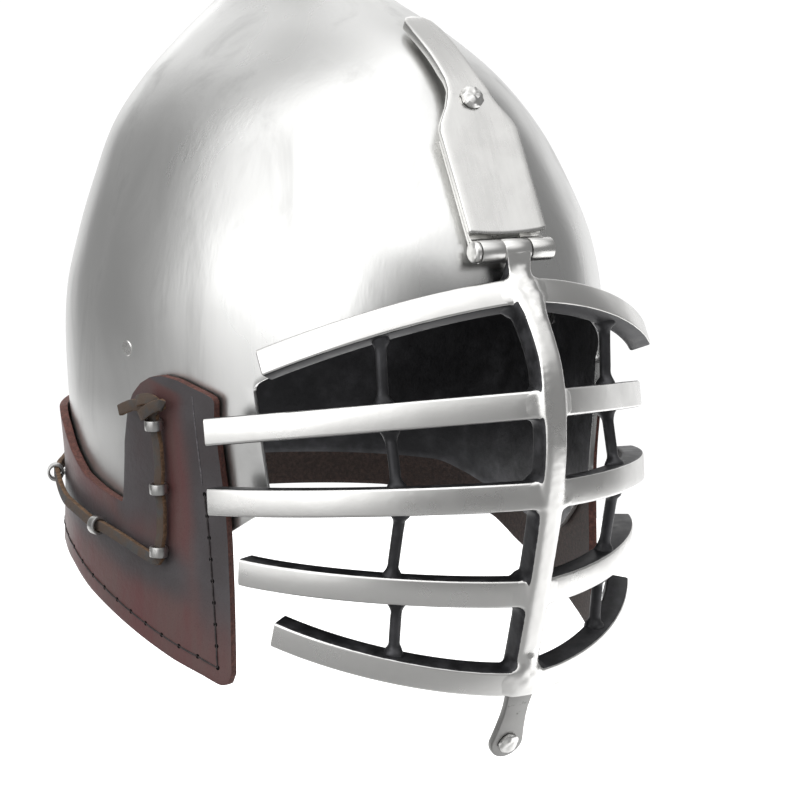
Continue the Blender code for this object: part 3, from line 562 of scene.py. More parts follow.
def raw_leather(name, base):
    made = Nodes(name)
    fibre = made.noise(650.0, 6.0, 0.7)
    layers = made.noise(1.0, 3.0, 0.6, made.stretch((60, 60, 500)))
    colour = made.blotched(base, 0.40, 1.15, fibre, 0.35, 0.7)
    colour = made.mix(made.spread(layers, 0.45, 0.7, 0.0, 0.5), colour, scaled(base, 0.5))
    return made.out(Base_Color=colour, Roughness=0.75, Normal=made.bump(fibre, 0.6, 0.0006))


def thong_leather():
    made = Nodes("thong_leather")
    settings = finish_settings()
    fibre = made.noise(520.0, 5.0, 0.7)
    patch = made.noise(90.0, 4.0, 0.6)
    grain = made.mix(made.spread(patch, 0.42, 0.66), scaled(settings.thong, 0.75), (0.055, 0.055, 0.055))
    suede = made.blotched(settings.thong_side, 0.6, 1.5, fibre, 0.35, 0.75)
    colour = made.mix(made.spread(made.attribute("bright"), 0.35, 0.75), suede, grain)
    return made.out(Base_Color=colour, Roughness=0.85, Normal=made.bump(fibre, 0.5, 0.0006))


def dark_thread():
    made = Nodes("dark_thread")
    twist = made.noise(900.0, 3.0, 0.6)
    colour = made.blotched(finish_settings().thread, 1.0, 3.2, twist, 0.35, 0.7)
    return made.out(Base_Color=colour, Roughness=0.6, Normal=made.bump(twist, 0.5, 0.0004))


# Painted shade: a near-black colour for the discs that stand for the dark inside of each stitch hole
def stitch_hole_shade():
    made = Nodes("stitch_hole_shade")
    painted_hole_shade = made.mix(made.noise(700.0, 2.0), (0.002, 0.002, 0.002), (0.006, 0.005, 0.005))
    return made.out(Base_Color=painted_hole_shade, Roughness=0.9, Specular_IOR_Level=0.1)


MAKERS = {
    "skull": brushed_skull_steel,
    "visor": visor_steel,
    "clip": lambda: ground_steel("clip_steel", (420, 60, 60), 0.22),
    "staple": lambda: ground_steel("staple_steel", (200, 200, 200), 0.30, 0.66, 0.8),
    "hinge": lambda: ground_steel("hinge_steel", (60, 420, 420), 0.26),
    "tab": lambda: ground_steel("tab_steel", (60, 200, 200), 0.34, 0.40, 0.85),
    "black": black_scale,
    "rod": lambda: black_scale("rod_scale", 1.2),
    "inside": lambda: black_scale("inside_scale", 1.6),
    "leather": stained_leather,
    "leather_edge": lambda: raw_leather("raw_leather_edge", finish_settings().raw_edge),
    "leather_back": lambda: raw_leather("flesh_side", finish_settings().flesh),
    "thong": thong_leather,
    "thread": dark_thread,
    # The hole finish is painted shade for the dark inside of the stitch holes
    "hole": stitch_hole_shade,
    "score": lambda: raw_leather("scored_leather", finish_settings().score),
}
FINISHES = {}


def finish_of(name):
    """The material of that name, made once."""
    if name not in FINISHES:
        FINISHES[name] = MAKERS[name]()
    return FINISHES[name]


# The skull

BROW_EDGE_FRONT = -0.077
BROW_EDGE_FALL = 0.60
CHEEK_SETBACK = 0.0685
CHEEK_FOOT_SETBACK = 0.0717
CHEEK_FOOT_LEVEL = -0.1625
CORNER_RADIUS = 0.0045
FOOT_RADIUS = 0.006
BROW_STEPS, BACK_STEPS = 18, 44
CROWN_ROWS, CHEEK_ROWS = 84, 22


def brow_edge(setback):
    """Level of the face opening's upper edge at a setback."""
    return BROW_EDGE_FRONT - BROW_EDGE_FALL * (setback + half_depth())


def opening_corner():
    """Outline of the face opening's upper corner in (setback, level), from the brow edge to the cheek."""
    cut = Vector((-CHEEK_SETBACK, brow_edge(-CHEEK_SETBACK)))
    along = Vector((-1.0, BROW_EDGE_FALL)).normalized()
    down = Vector((CHEEK_SETBACK - CHEEK_FOOT_SETBACK, CHEEK_FOOT_LEVEL - cut.y)).normalized()
    return arc_between(cut, along, down, CORNER_RADIUS, 8)


def arc_between(corner, way_in, way_out, radius, steps):
    """Points of an arc that rounds a corner, from the side of way_in to the side of way_out."""
    half = way_in.angle(way_out) / 2
    run = radius / math.tan(half)
    middle = corner + (way_in + way_out).normalized() * run / math.cos(half)
    start, end = corner + way_in * run, corner + way_out * run
    return [middle + (start - middle).lerp(end - middle, step / steps).normalized()
            * (start - middle).length for step in range(steps + 1)]


def hem_level(setback):
    return form().brow_level - straight_value(HEM_LINE, setback / half_depth()) * form().skirt_height


def skull_outline():
    """Lower ends of the skull's columns from the middle of the brow to the cheek, as (turn, level)."""
    corner = opening_corner()
    front = skull_section(BROW_EDGE_FRONT)[1]
    ends = []
    for step in range(BROW_STEPS):
        setback = front + (corner[0].x - front) * (step / BROW_STEPS) ** 1.6
        level = brow_edge(setback)
        ends.append((0.0 if step == 0 else turn_at(level, setback), level))
    return ends + [(turn_at(point.y, point.x), point.y) for point in corner]


def cheek_feet(cheek):
    """Turn and level of the lower end of each cheek column, along the rounded foot and then the hem."""
    cut = Vector((-CHEEK_FOOT_SETBACK, CHEEK_FOOT_LEVEL))
    hem_start = HEM_LINE[0][0] * half_depth()
    arc = arc_between(cut, Vector((CHEEK_FOOT_SETBACK - CHEEK_SETBACK, 0.05)).normalized(),
                      (Vector((hem_start, hem_level(hem_start))) - cut).normalized(), FOOT_RADIUS, 4)
    feet = [(turn_at(point.y, point.x), point.y) for point in arc]
    last = feet[-1][0]
    for index in range(len(arc), len(cheek)):
        turn = max(cheek[index][0], last + 0.012 * (index - len(arc) + 1))
        level = -0.18
        for _ in range(12):
            level = hem_level(skull_point(level, turn).y)
        feet.append((turn, level))
    return feet


def make_skull():
    """The skull as a sheet of quads that follows its outline, thickened to the inside."""
    bm = bmesh.new()
    apex = form().brow_level + form().crown_height
    ends = skull_outline()
    start_turn, shared_level = ends[-1]
    back = [(start_turn + (math.pi - start_turn) * (step / BACK_STEPS) ** 1.12, shared_level)
            for step in range(1, BACK_STEPS + 1)]
    side, cheek = ends + back, ends[-1:] + back
    whole = [(-turn, level) for turn, level in reversed(side[1:])] + side
    feet = cheek_feet(cheek)

    def crown(across, along):
        turn, level = whole[round(across * (len(whole) - 1))]
        return skull_point(level + (apex - level) * (1 - (1 - along) ** 1.3), turn)

    def below(across, along, mirrored):
        index = round(across * (len(cheek) - 1))
        top_turn, top_level = cheek[index]
        low_turn, low_level = feet[index]
        level = top_level + (low_level - top_level) * along
        return skull_point(level, mirrored * (top_turn + (low_turn - top_turn) * along))

    add_grid(bm, len(whole) - 1, CROWN_ROWS, crown)
    for mirrored in (1, -1):
        add_grid(bm, len(cheek) - 1, CHEEK_ROWS, lambda across, along: below(across, along, mirrored))
    join_sheets(bm, 2e-5, 2, apex - 0.002)
    piece = add_piece("skull_plate", bm, ["skull", "inside"], "helmet", ["skull"], 0)
    return thicken(piece, form().skull_wall, 0.0005)


# Swept bars and ribbons

def add_sweep(bm, loops, bright=None, material=0):
    """Joins closed loops of points into one skin; bright marks each of a loop's points."""
    count, last = len(loops[0]), len(loops) - 1
    if not bm.verts.layers.float.get("bright"):
        bm.verts.layers.float.new("bright")
    made = add_grid(bm, count, last, lambda across, along:
                    loops[round(along * last)][round(across * count) % count], material)
    layer = bm.verts.layers.float["bright"]
    for vert, (across, _) in made:
        vert[layer] = bright[round(across * count) % count] if bright else 1.0


def slab_section(half, depth, front_round, back_round, steps=3):
    """Section of a flat bar as (height, depth behind the front, brightness), with rounded corners."""
    points = []
    for corner in range(4):
        radius = front_round if corner in (0, 3) else back_round
        height = (half - radius) * (1 if corner < 2 else -1)
        inward = radius if corner in (0, 3) else depth - radius
        for step in range(steps + 1):
            angle = math.radians(90 * (corner + step / steps))
            bright = ease(math.cos(angle), 0.30, 0.80) if corner in (0, 3) else 0.0
            points.append((height + radius * math.sin(angle), inward - radius * math.cos(angle), bright))
    return points


def add_ribbon(bm, path, width, thickness, way_out, round_by=0.0004, material=0):
    """A flat thong along a path, lying flat against what way_out points away from."""
    section = slab_section(width / 2, thickness, round_by, round_by, 2)
    loops = []
    for index, spot in enumerate(path):
        along = way_along(path, index)
        across = along.cross(way_out(spot)).normalized()
        out = across.cross(along).normalized()
        loops.append([spot + across * height + out * (thickness / 2 - inward)
                      for height, inward, _ in section])
    add_sweep(bm, loops, [mark for _, _, mark in section], material)


def add_turned(bm, centre, way, profile, sides=28, ruffle=0.0, seed=0.0, material=0):
    """A turned solid from rows of radius and height along the way, with a hammered surface if ruffled."""
    place = Matrix.Translation(centre) @ Vector(way).to_track_quat("Z", "Y").to_matrix().to_4x4()
    loops = []
    for radius, height in profile:
        loop = []
        for side in range(sides):
            angle = math.tau * side / sides
            spot = Vector((radius * math.cos(angle), radius * math.sin(angle), height))
            if ruffle:
                dent = noise.noise(spot * 520.0 + Vector((seed, seed, seed)))
                spot += spot.normalized() * dent * ruffle
            loop.append(place @ spot)
        loops.append(loop)
    add_sweep(bm, loops, material=material)


def dome_profile(radius, rise, crown=0.95, rows=6):
    """Rows of a low round head, from its foot to the middle of its top."""
    rows_made = [(radius, 0.0), (radius, 0.28 * rise)]
    for row in range(1, rows + 1):
        angle = math.pi / 2 * row / rows
        rows_made.append((max(radius * math.cos(angle), 0.00012),
                          rise * (0.28 + 0.72 * math.sin(angle) ** crown)))
    return rows_made


def out_of_skull(point):
    """The way straight out of the skull near a point."""
    half, front, back, widest = skull_section(point.z)
    reach = widest - front if point.y < widest else back - widest
    return skull_normal(point.z, math.atan2(point.x / half, (widest - point.y) / reach))


# The collar

COLLAR_TOP = -0.1128
COLLAR_HEIGHT = 0.1255
COLLAR_GAP = 0.0012
COLLAR_FLARE = 0.0020
FOOT_ROUND = 0.0069


def collar_level(height):
    return COLLAR_TOP - (1 - height) * COLLAR_HEIGHT


def collar_out(level):
    """How far the collar's outer face stands off the skull, more towards its foot."""
    share = min(max((COLLAR_TOP - 0.35 * COLLAR_HEIGHT - level) / (0.65 * COLLAR_HEIGHT), 0.0), 1.0)
    return COLLAR_GAP + COLLAR_FLARE * share ** 2 + form().leather_wall


def collar_face(level, turn, lift=0.0):
    """A point on the collar's outer face, lifted off it."""
    return skull_point(level, turn, collar_out(level) + lift)


def collar_point(setback, height, side, lift=0.0):
    """The same, from the side view's shares of half the skull's depth and of the collar's height."""
    level = collar_level(height)
    out = collar_out(level)
    return skull_point(level, side * turn_at(level, setback * half_depth(), out), out + lift)


FLAP_FRONT = (
    # level, setback
    (0.000, -0.473),
    (0.460, -0.450),
    (0.700, -0.436),
    (0.885, -0.430),
    (0.938, -0.434),
    (0.952, -0.425),
    (0.962, -0.400),
    (0.977, -0.352),
    (0.990, -0.312),
    (0.997, -0.285),
    (1.003, -0.226),
)
FLAP_REAR = (
    # level, setback
    (0.553, 0.030),
    (0.570, 0.024),
    (0.660, 0.010),
    (0.760, -0.010),
    (0.880, -0.050),
    (0.930, -0.080),
    (0.970, -0.125),
    (0.995, -0.175),
    (1.003, -0.224),
)
NOTCH_LEVEL = 0.553
NOTCH_SETBACK = 0.030
BAND_TURN = 0.20

# Middle of the dark stain under the slanted lace
STAIN_LINE = (
    # setback, level
    (-0.42, 0.30),
    (-0.30, 0.33),
    (-0.18, 0.365),
    (0.00, 0.39),
    (0.14, 0.45),
    (0.56, 0.56),
    (0.85, 0.59),
    (1.30, 0.60),
)


def collar_foot(setback):
    """Height of the collar's lower edge at a setback, with its rounded front corner."""
    height = straight_value(COLLAR_FOOT, setback)
    into = (setback - COLLAR_FOOT[0][0]) * half_depth()
    if into < FOOT_ROUND:
        rise = FOOT_ROUND - math.sqrt(max(0.0, FOOT_ROUND ** 2 - (FOOT_ROUND - into) ** 2))
        height += rise / COLLAR_HEIGHT
    return height


def stain_at(setback, height):
    """How dark the leather is stained at a place: along its edges and under the lace."""
    unit = half_depth()
    front = (setback - straight_value(FLAP_FRONT, height)) * unit
    dark = ease(height, 0.02, 0.40) * (1 - ease(front, 0.011, 0.024))
    behind_lace = (setback + 0.185) * unit
    fade = ease(height, 0.36, 0.60) * (1 - 0.7 * ease(height, 0.86, 0.97))
    dark = max(dark, 0.9 * fade * ease(behind_lace, -0.004, 0.006) * (1 - ease(setback, 0.02, 0.14)))
    under = abs(height - straight_value(STAIN_LINE, setback)) * COLLAR_HEIGHT
    return max(dark, 0.95 * (1 - ease(under, 0.002, 0.019)) * ease(setback, -0.44, -0.20))


def flap_spread(share):
    return share - 0.30 * math.sin(math.tau * share) / math.tau


def flap_upper(across, along):
    """Setback and height of a place on the cheek's flap above the notch."""
    height = NOTCH_LEVEL + (FLAP_FRONT[-1][0] - NOTCH_LEVEL) * (1 - (1 - along) ** 1.7)
    front, rear = straight_value(FLAP_FRONT, height), straight_value(FLAP_REAR, height)
    return front + (rear - front) * flap_spread(across), height


def flap_lower(across, along):
    """The same below the notch, down to the foot."""
    foot = collar_foot(COLLAR_FOOT[0][0] + (NOTCH_SETBACK - COLLAR_FOOT[0][0]) * flap_spread(across))
    height = NOTCH_LEVEL + (foot - NOTCH_LEVEL) * along
    front = straight_value(FLAP_FRONT, height)
    return front + (NOTCH_SETBACK - front) * flap_spread(across), height


def band(across, along):
    """Setback, height and turn of a place on the band that runs from the notch round the back."""
    height, first, unit = 0.5, 0.14, half_depth()
    for _ in range(8):
        level = collar_level(height)
        out = collar_out(level)
        if across < first:
            setback = NOTCH_SETBACK + (BAND_TURN - NOTCH_SETBACK) * across / first
            turn = turn_at(level, setback * unit, out)
        else:
            begin = turn_at(level, BAND_TURN * unit, out)
            turn = begin + (math.pi - begin) * (across - first) / (1 - first)
            setback = skull_point(level, turn, out).y / unit
        top, foot = straight_value(BAND_TOP, setback), collar_foot(setback)
        height = top + (foot - top) * along
    return setback, height, turn


def make_collar():
    """The leather collar as sheets of quads that follow its edge, thickened to the inside."""
    bm = bmesh.new()
    stain = bm.verts.layers.float.new("stain")

    def band_point(across, along, side):
        _, height, turn = band(across, along)
        return collar_face(collar_level(height), side * turn)

    for side in (-1, 1):
        for place, rows in ((flap_upper, 46), (flap_lower, 34)):
            for vert, shares in add_grid(bm, 30, rows, lambda a, b: collar_point(*place(a, b), side)):
                vert[stain] = stain_at(*place(*shares))
        for vert, shares in add_grid(bm, 76, 34, lambda a, b: band_point(a, b, side)):
            vert[stain] = stain_at(*band(*shares)[:2])
    join_sheets(bm, 4e-5, 1)
    piece = add_piece("collar_leather", bm, ["leather", "leather_edge", "leather_back"], "helmet",
                      ["leather_collar"], 0)
    return thicken(piece, form().leather_wall, 0.0007, 1, 2)


STITCH_CORNER = -0.420
STITCH_INSET = 0.0066
STITCH_FRONT = (0.054, 0.560)


def stitch_height(setback):
    return collar_foot(setback) + STITCH_INSET / COLLAR_HEIGHT


def stitch_foot(side):
    """Stitch holes along one half of the foot, from the front corner to just before the back's middle."""
    unit = half_depth()
    row, setback = [], STITCH_CORNER
    while setback < 0.40:
        row.append(collar_point(setback, stitch_height(setback), side))
        setback += form().stitch_pitch / unit
    level = collar_level(stitch_height(setback))
    begin = turn_at(level, setback * unit, collar_out(level))
    half_back = 0.106
    count = round((math.pi - begin) * half_back / form().stitch_pitch)
    for step in range(count):
        turn = begin + (math.pi - begin) * step / (count - 0.5)
        height = 0.3
        for _ in range(8):
            level = collar_level(height)
            height = stitch_height(skull_point(level, turn, collar_out(level)).y / unit)
        row.append(collar_face(collar_level(height), side * turn))
    return row


def stitch_rows():
    """Places of the stitch holes: up both front edges of the collar, and along its foot round the back."""
    across, up = STITCH_FRONT
    foot = stitch_height(STITCH_CORNER)
    fronts = [[collar_point(STITCH_CORNER + across * step / 8, foot + up * step / 8, side)
               for step in range(9)] for side in (-1, 1)]
    return fronts + [stitch_foot(-1) + stitch_foot(1)[::-1]]


def make_stitches():
    """Thread of the sewn edge: a short length between each hole and the next, sunk at its ends."""
    bm = bmesh.new()
    for holes in stitch_rows():
        for hole in holes:
            # A near-black disc of painted shade at each hole stands for the hole's dark inside
            out = out_of_skull(hole)
            add_turned(bm, hole - out * 0.0006, out, [(0.0010, 0.0), (0.0010, 0.00066), (0.0008, 0.00076),
                                                      (0.0001, 0.00078)], 12, material=1)
        for start, end in zip(holes, holes[1:]):
            out = out_of_skull((start + end) / 2)
            path = [start.lerp(end, share) + out * (0.0004 * math.sin(math.pi * share) - 0.00010)
                    for share in (0.02, 0.15, 0.3, 0.5, 0.7, 0.85, 0.98)]
            add_ribbon(bm, path, 0.0007, 0.0006, lambda spot: out, 0.00025)
    for side in (-1, 1):
        score = smooth_path([collar_point(-0.360 + 0.008 * step / 6, 0.66 + 0.29 * step / 6, side)
                             for step in range(7)], 0.002)
        add_ribbon(bm, score, 0.0006, 0.0005, lambda spot: out_of_skull(spot), 0.0002, material=2)
    return add_piece("collar_stitches", bm, ["thread", "hole", "score"], "helmet", (), 60,
                     1e-7)


# Staples, lace and knots

STAPLE_DIAMETER = 0.0076
STAPLE_BORE = 0.0050
STAPLE_LENGTH = 0.0045
CLEARANCE = 0.0003


def side_name(side):
    return "left" if side > 0 else "right"


def staple_frame(staple, side):
    """Where a staple stands on the collar's outer face, with the way out and the way of its bore."""
    turn, drop, along = staple
    level = form().brow_level - drop * form().skirt_height
    out_by = collar_out(level)
    angle = math.radians(turn) * side
    face = skull_point(level, angle, out_by)
    out = skull_normal(level, angle, out_by)
    level_way = Vector((-out.y, out.x, 0)).normalized() * -side
    way = level_way.cross(out).normalized() * side if along == "up" else level_way
    return face, out, way


def make_staples():
    """Fourteen small steel tubes, flattened a little, whose posts go through the leather."""
    bm = bmesh.new()
    outer, bore, half = STAPLE_DIAMETER / 2, STAPLE_BORE / 2, STAPLE_LENGTH / 2
    for side in (-1, 1):
        for number, staple in enumerate(STAPLES):
            face, out, along = staple_frame(staple, side)
            centre = face + out * (outer + CLEARANCE)
            across = along.cross(out).normalized()
            section = [(bore, -half + 0.0004), (bore + 0.0004, -half), (outer - 0.0005, -half),
                       (outer - 0.00012, -half + 0.0002), (outer, -half + 0.0006), (outer, half - 0.0006),
                       (outer - 0.00012, half - 0.0002), (outer - 0.0005, half), (bore + 0.0004, half),
                       (bore, half - 0.0004)]
            loops = []
            sides = 32
            for step in range(sides + 1):
                angle = math.tau * step / sides
                flat = 1.0 - 0.05 * math.cos(2 * angle)
                wobble = 1.0 + 0.012 * noise.noise(
                    Vector((math.cos(angle) * 2, math.sin(angle) * 2, number + side)))
                loops.append([centre + along * height + (out * math.cos(angle) + across * math.sin(angle))
                              * radius * (flat * wobble if radius > bore + 0.0006 else 1.0)
                              for radius, height in section])
            add_sweep(bm, loops)
            post = [(0.0014, 0.0), (0.0014, collar_out(face.z) + 0.0003)]
            add_turned(bm, face - out * (collar_out(face.z) - 0.0004), out, post, 12)
    names = [f"staple_{number}_{side_name(side)}" for side in (-1, 1)
             for number in range(1, len(STAPLES) + 1)]
    return add_piece("lace_staples", bm, ["staple"], "helmet", names, 35, 1e-6)


def lace_side(side):
    """Route of one half of the lace's middle line, from the knot down and round to the nape."""
    route = []
    frames = [staple_frame(staple, side) for staple in STAPLES]
    rise = STAPLE_DIAMETER / 2 + CLEARANCE - 0.0006
    lie = form().thong_thickness / 2 + 0.0020
    for index, (face, out, along) in enumerate(frames):
        here, step = face + out * rise, along * STAPLE_LENGTH
        route += [here + step * (0.9 if index == 0 else 0.55), here - step * 0.55]
        if index == len(frames) - 1:
            break
        shares = (0.30, 0.5, 0.70)
        if index == 2:
            toward = (frames[3][0] - face).normalized()
            turn_spot = face + out * (lie + 0.0012) - along * 0.0036
            route += [turn_spot + toward * 0.0004, turn_spot + toward * 0.0048]
            shares = (0.35, 0.55, 0.75)
        for share in shares:
            turn = STAPLES[index][0] + (STAPLES[index + 1][0] - STAPLES[index][0]) * share
            drop = STAPLES[index][1] + (STAPLES[index + 1][1] - STAPLES[index][1]) * share
            drop += 0.055 * (1 - share) ** 2 if index == 2 else 0.006 * math.sin(9 * share + index)
            level = form().brow_level - drop * form().skirt_height
            route.append(collar_face(level, math.radians(turn) * side, lie))
    return route


def make_lace():
    """The flat thong through all the staples, one length from knot to knot round the nape."""
    level = form().brow_level - STAPLES[-1][1] * form().skirt_height
    nape = collar_face(level, math.pi, form().thong_thickness / 2 + 0.0004)
    path = smooth_path(lace_side(-1) + [nape] + lace_side(1)[::-1], 0.0016)
    bm = bmesh.new()
    add_ribbon(bm, path, form().thong_width, form().thong_thickness, lambda spot: out_of_skull(spot))
    return add_piece("lace_thong", bm, ["thong"], "helmet", ["lace"], 50, 1e-6)


# Strands of the knot: steps back, up and out from its middle, in thousandths
KNOT_STRANDS = (
    ((0.5, -7.0, -1.6), (0.2, -3.0, 0.2), (-3.5, 1.8, 1.0), (-1.0, 3.6, 1.9), (4.0, 3.0, 2.3),
     (7.0, 1.2, 0.9), (5.2, -1.8, 0.4)),
    ((7.0, -4.0, 0.0), (3.5, -3.0, 2.2), (-1.0, -0.6, 3.4), (-5.0, 1.3, 2.7), (-6.8, 1.8, 0.8),
     (-4.2, 0.6, -0.4)),
    ((-1.0, 0.6, 0.8), (5.0, 0.4, 1.4), (9.5, 0.2, 1.7), (14.0, -1.2, 1.5), (18.4, -3.0, 1.2)),
)


def make_knot(side):
    """The tied end of the lace above the first staple, from flat strands over each other, and its tail."""
    face, out, along = staple_frame(STAPLES[0], side)
    back_way = Vector((-out.y, out.x, 0)).normalized() * side
    middle = face + out * 0.0042 + along * 0.0075
    bm = bmesh.new()
    for strand in KNOT_STRANDS:
        points = [middle + (back_way * back + along * up + out * high) * MM for back, up, high in strand]
        path = smooth_path(points, 0.0010)

        def lift(spot):
            return (out * 1.4 + (spot - middle).normalized()).normalized()

        add_ribbon(bm, path, form().thong_width * 1.05, form().thong_thickness, lift)
    return add_piece(f"knot_{side_name(side)}", bm, ["thong"], "helmet",
                     [f"lace_knot_{side_name(side)}"], 50, 1e-6)


# The visor

PIN_SETBACK = -0.1284
PIN_LEVEL = -0.0585
PIN = Vector((0, PIN_SETBACK, PIN_LEVEL))
PIN_DIAMETER = 0.0046
KNUCKLE_DIAMETER = 0.0092
MIDDLE_KNUCKLE_WIDTH = 0.0124
HINGE_WIDTH = 0.0336
SPINE_WIDTH = 0.011
SPINE_DEPTH = 0.011
ROD_DIAMETER = 0.0046
VISOR_WIDTH = 0.212
VISOR_HEIGHT = 0.176
VISOR_REACH = 0.0305
VISOR_SWEEP = 0.092
ROD_SPREAD = 0.0555
TAB_FALL = 66.0
TAB_WIDTH = 0.0130
TAB_LENGTH = 0.034
TAB_THICKNESS = 0.003
TAB_END_RADIUS = 0.0074


def visor_point(level, reach):
    return Vector((0, PIN_SETBACK - reach * VISOR_REACH, PIN_LEVEL - level * VISOR_HEIGHT))


def bar_point(bar, turn, depth=0.0):
    """A point on the middle of a bar's front face, or as deep behind it."""
    level, reach, fall, span, sweep, full_turn, cusp = bar
    half, back = span * VISOR_WIDTH / 2, sweep * VISOR_SWEEP

    def flat(angle):
        side = abs(math.sin(angle)) / math.sin(math.radians(full_turn))
        drop = 1 - math.cos(angle) ** cusp
        full = 1 - math.cos(math.radians(full_turn)) ** cusp
        return Vector((math.copysign(half * side ** cusp, angle), back * drop / full))

    spot = flat(turn)
    small = 0.01
    way = (flat(turn + small) - flat(turn - small)).normalized()
    spot = spot + Vector((-way.y, way.x)) * depth
    tilt = math.radians(fall)
    return visor_point(level, reach) + Vector((spot.x, spot.y * math.cos(tilt), spot.y * math.sin(tilt)))


def bar_turn(bar, x):
    """The turn at which a bar's front face is this far to the side."""
    side = x / (bar[3] * VISOR_WIDTH / 2)
    return math.asin(math.sin(math.radians(bar[5])) * side ** (1 / bar[6]))


def bar_loop(bar, turn, grow=0.0, steps=3):
    """The bar's section at a turn as a loop of points, grown or shrunk all round."""
    tilt = math.radians(bar[2])
    across = Vector((0, -math.sin(tilt), math.cos(tilt)))
    front = bar_point(bar, turn)
    inward = (bar_point(bar, turn, form().bar_depth) - front) / form().bar_depth
    section = slab_section(form().bar_height / 2 + grow, form().bar_depth + 2 * grow, 0.0011, 0.0013, steps)
    return [front + across * height + inward * (depth - grow) for height, depth, _ in section]


def make_bars():
    """The five bars, each in two halves from the central bar out, with ground fronts and black sides."""
    bm = bmesh.new()
    bright = [mark for _, _, mark in slab_section(1, 2, 0.2, 0.2)]
    for bar in BARS:
        start, full = bar_turn(bar, 0.0046), math.radians(bar[5])
        tip = 0.0005 / ((bar_point(bar, full) - bar_point(bar, full - 0.01)).length / 0.01)
        turns = [start + (full - tip - start) * step / 44 for step in range(45)]
        for side in (-1, 1):
            loops = [bar_loop(bar, side * turn) for turn in turns]
            loops.append(bar_loop(bar, side * full, -0.0005))
            add_sweep(bm, loops, bright)
    return add_piece("visor_bars", bm, ["visor"], "visor", ["visor"], 40, 1e-6)


def spine_stations(spacing):
    """Points down the central bar's front line: place, way out, level share."""
    path = smooth_path([visor_point(row[0], row[1]) for row in SPINE_LINE], spacing)
    stations = []
    for index, spot in enumerate(path):
        along = way_along(path, index)
        stations.append((spot, Vector((0, along.z, -along.y)), (PIN_LEVEL - spot.z) / VISOR_HEIGHT))
    return stations


def melt(bm, name, grain, rounds):
    """Joins overlapping solids into one skin, as weld does, and softens it."""
    mesh = bpy.data.meshes.new(name)
    bm.to_mesh(mesh)
    bm.free()
    rough = bpy.data.objects.new(name, mesh)
    bpy.context.scene.collection.objects.link(rough)
    step = rough.modifiers.new("join", "REMESH")
    step.mode = "VOXEL"
    step.voxel_size = grain
    joined = bpy.data.meshes.new_from_object(rough.evaluated_get(bpy.context.evaluated_depsgraph_get()))
    bpy.data.objects.remove(rough, do_unlink=True)
    bpy.data.meshes.remove(mesh)
    bm = bmesh.new()
    bm.from_mesh(joined)
    bpy.data.meshes.remove(joined)
    for _ in range(rounds):
        bmesh.ops.smooth_vert(bm, verts=bm.verts, factor=0.5, use_axis_x=True, use_axis_y=True,
                              use_axis_z=True)
    bm.normal_update()
    return bm


# Lumps of weld on the neck: share of level, side, out and radius in thousandths
NECK_LUMPS = (
    (0.046, 0.2, -0.4, 4.4), (0.058, 1.0, -0.3, 4.8), (0.070, 2.2, -0.4, 5.0), (0.080, 1.2, -0.1, 5.2),
    (0.090, 3.0, -0.5, 5.0), (0.100, 1.4, -0.2, 5.0), (0.110, 2.6, -0.4, 4.6), (0.122, 1.4, -0.3, 4.4),
    (0.134, 1.0, -0.3, 4.2), (0.925, 0.0, 0.2, 5.2), (0.940, 0.0, 0.8, 5.4), (0.952, -2.6, 1.2, 4.8),
    (0.952, 2.6, 1.2, 4.8), (0.965, 0.0, 1.4, 5.2),
)


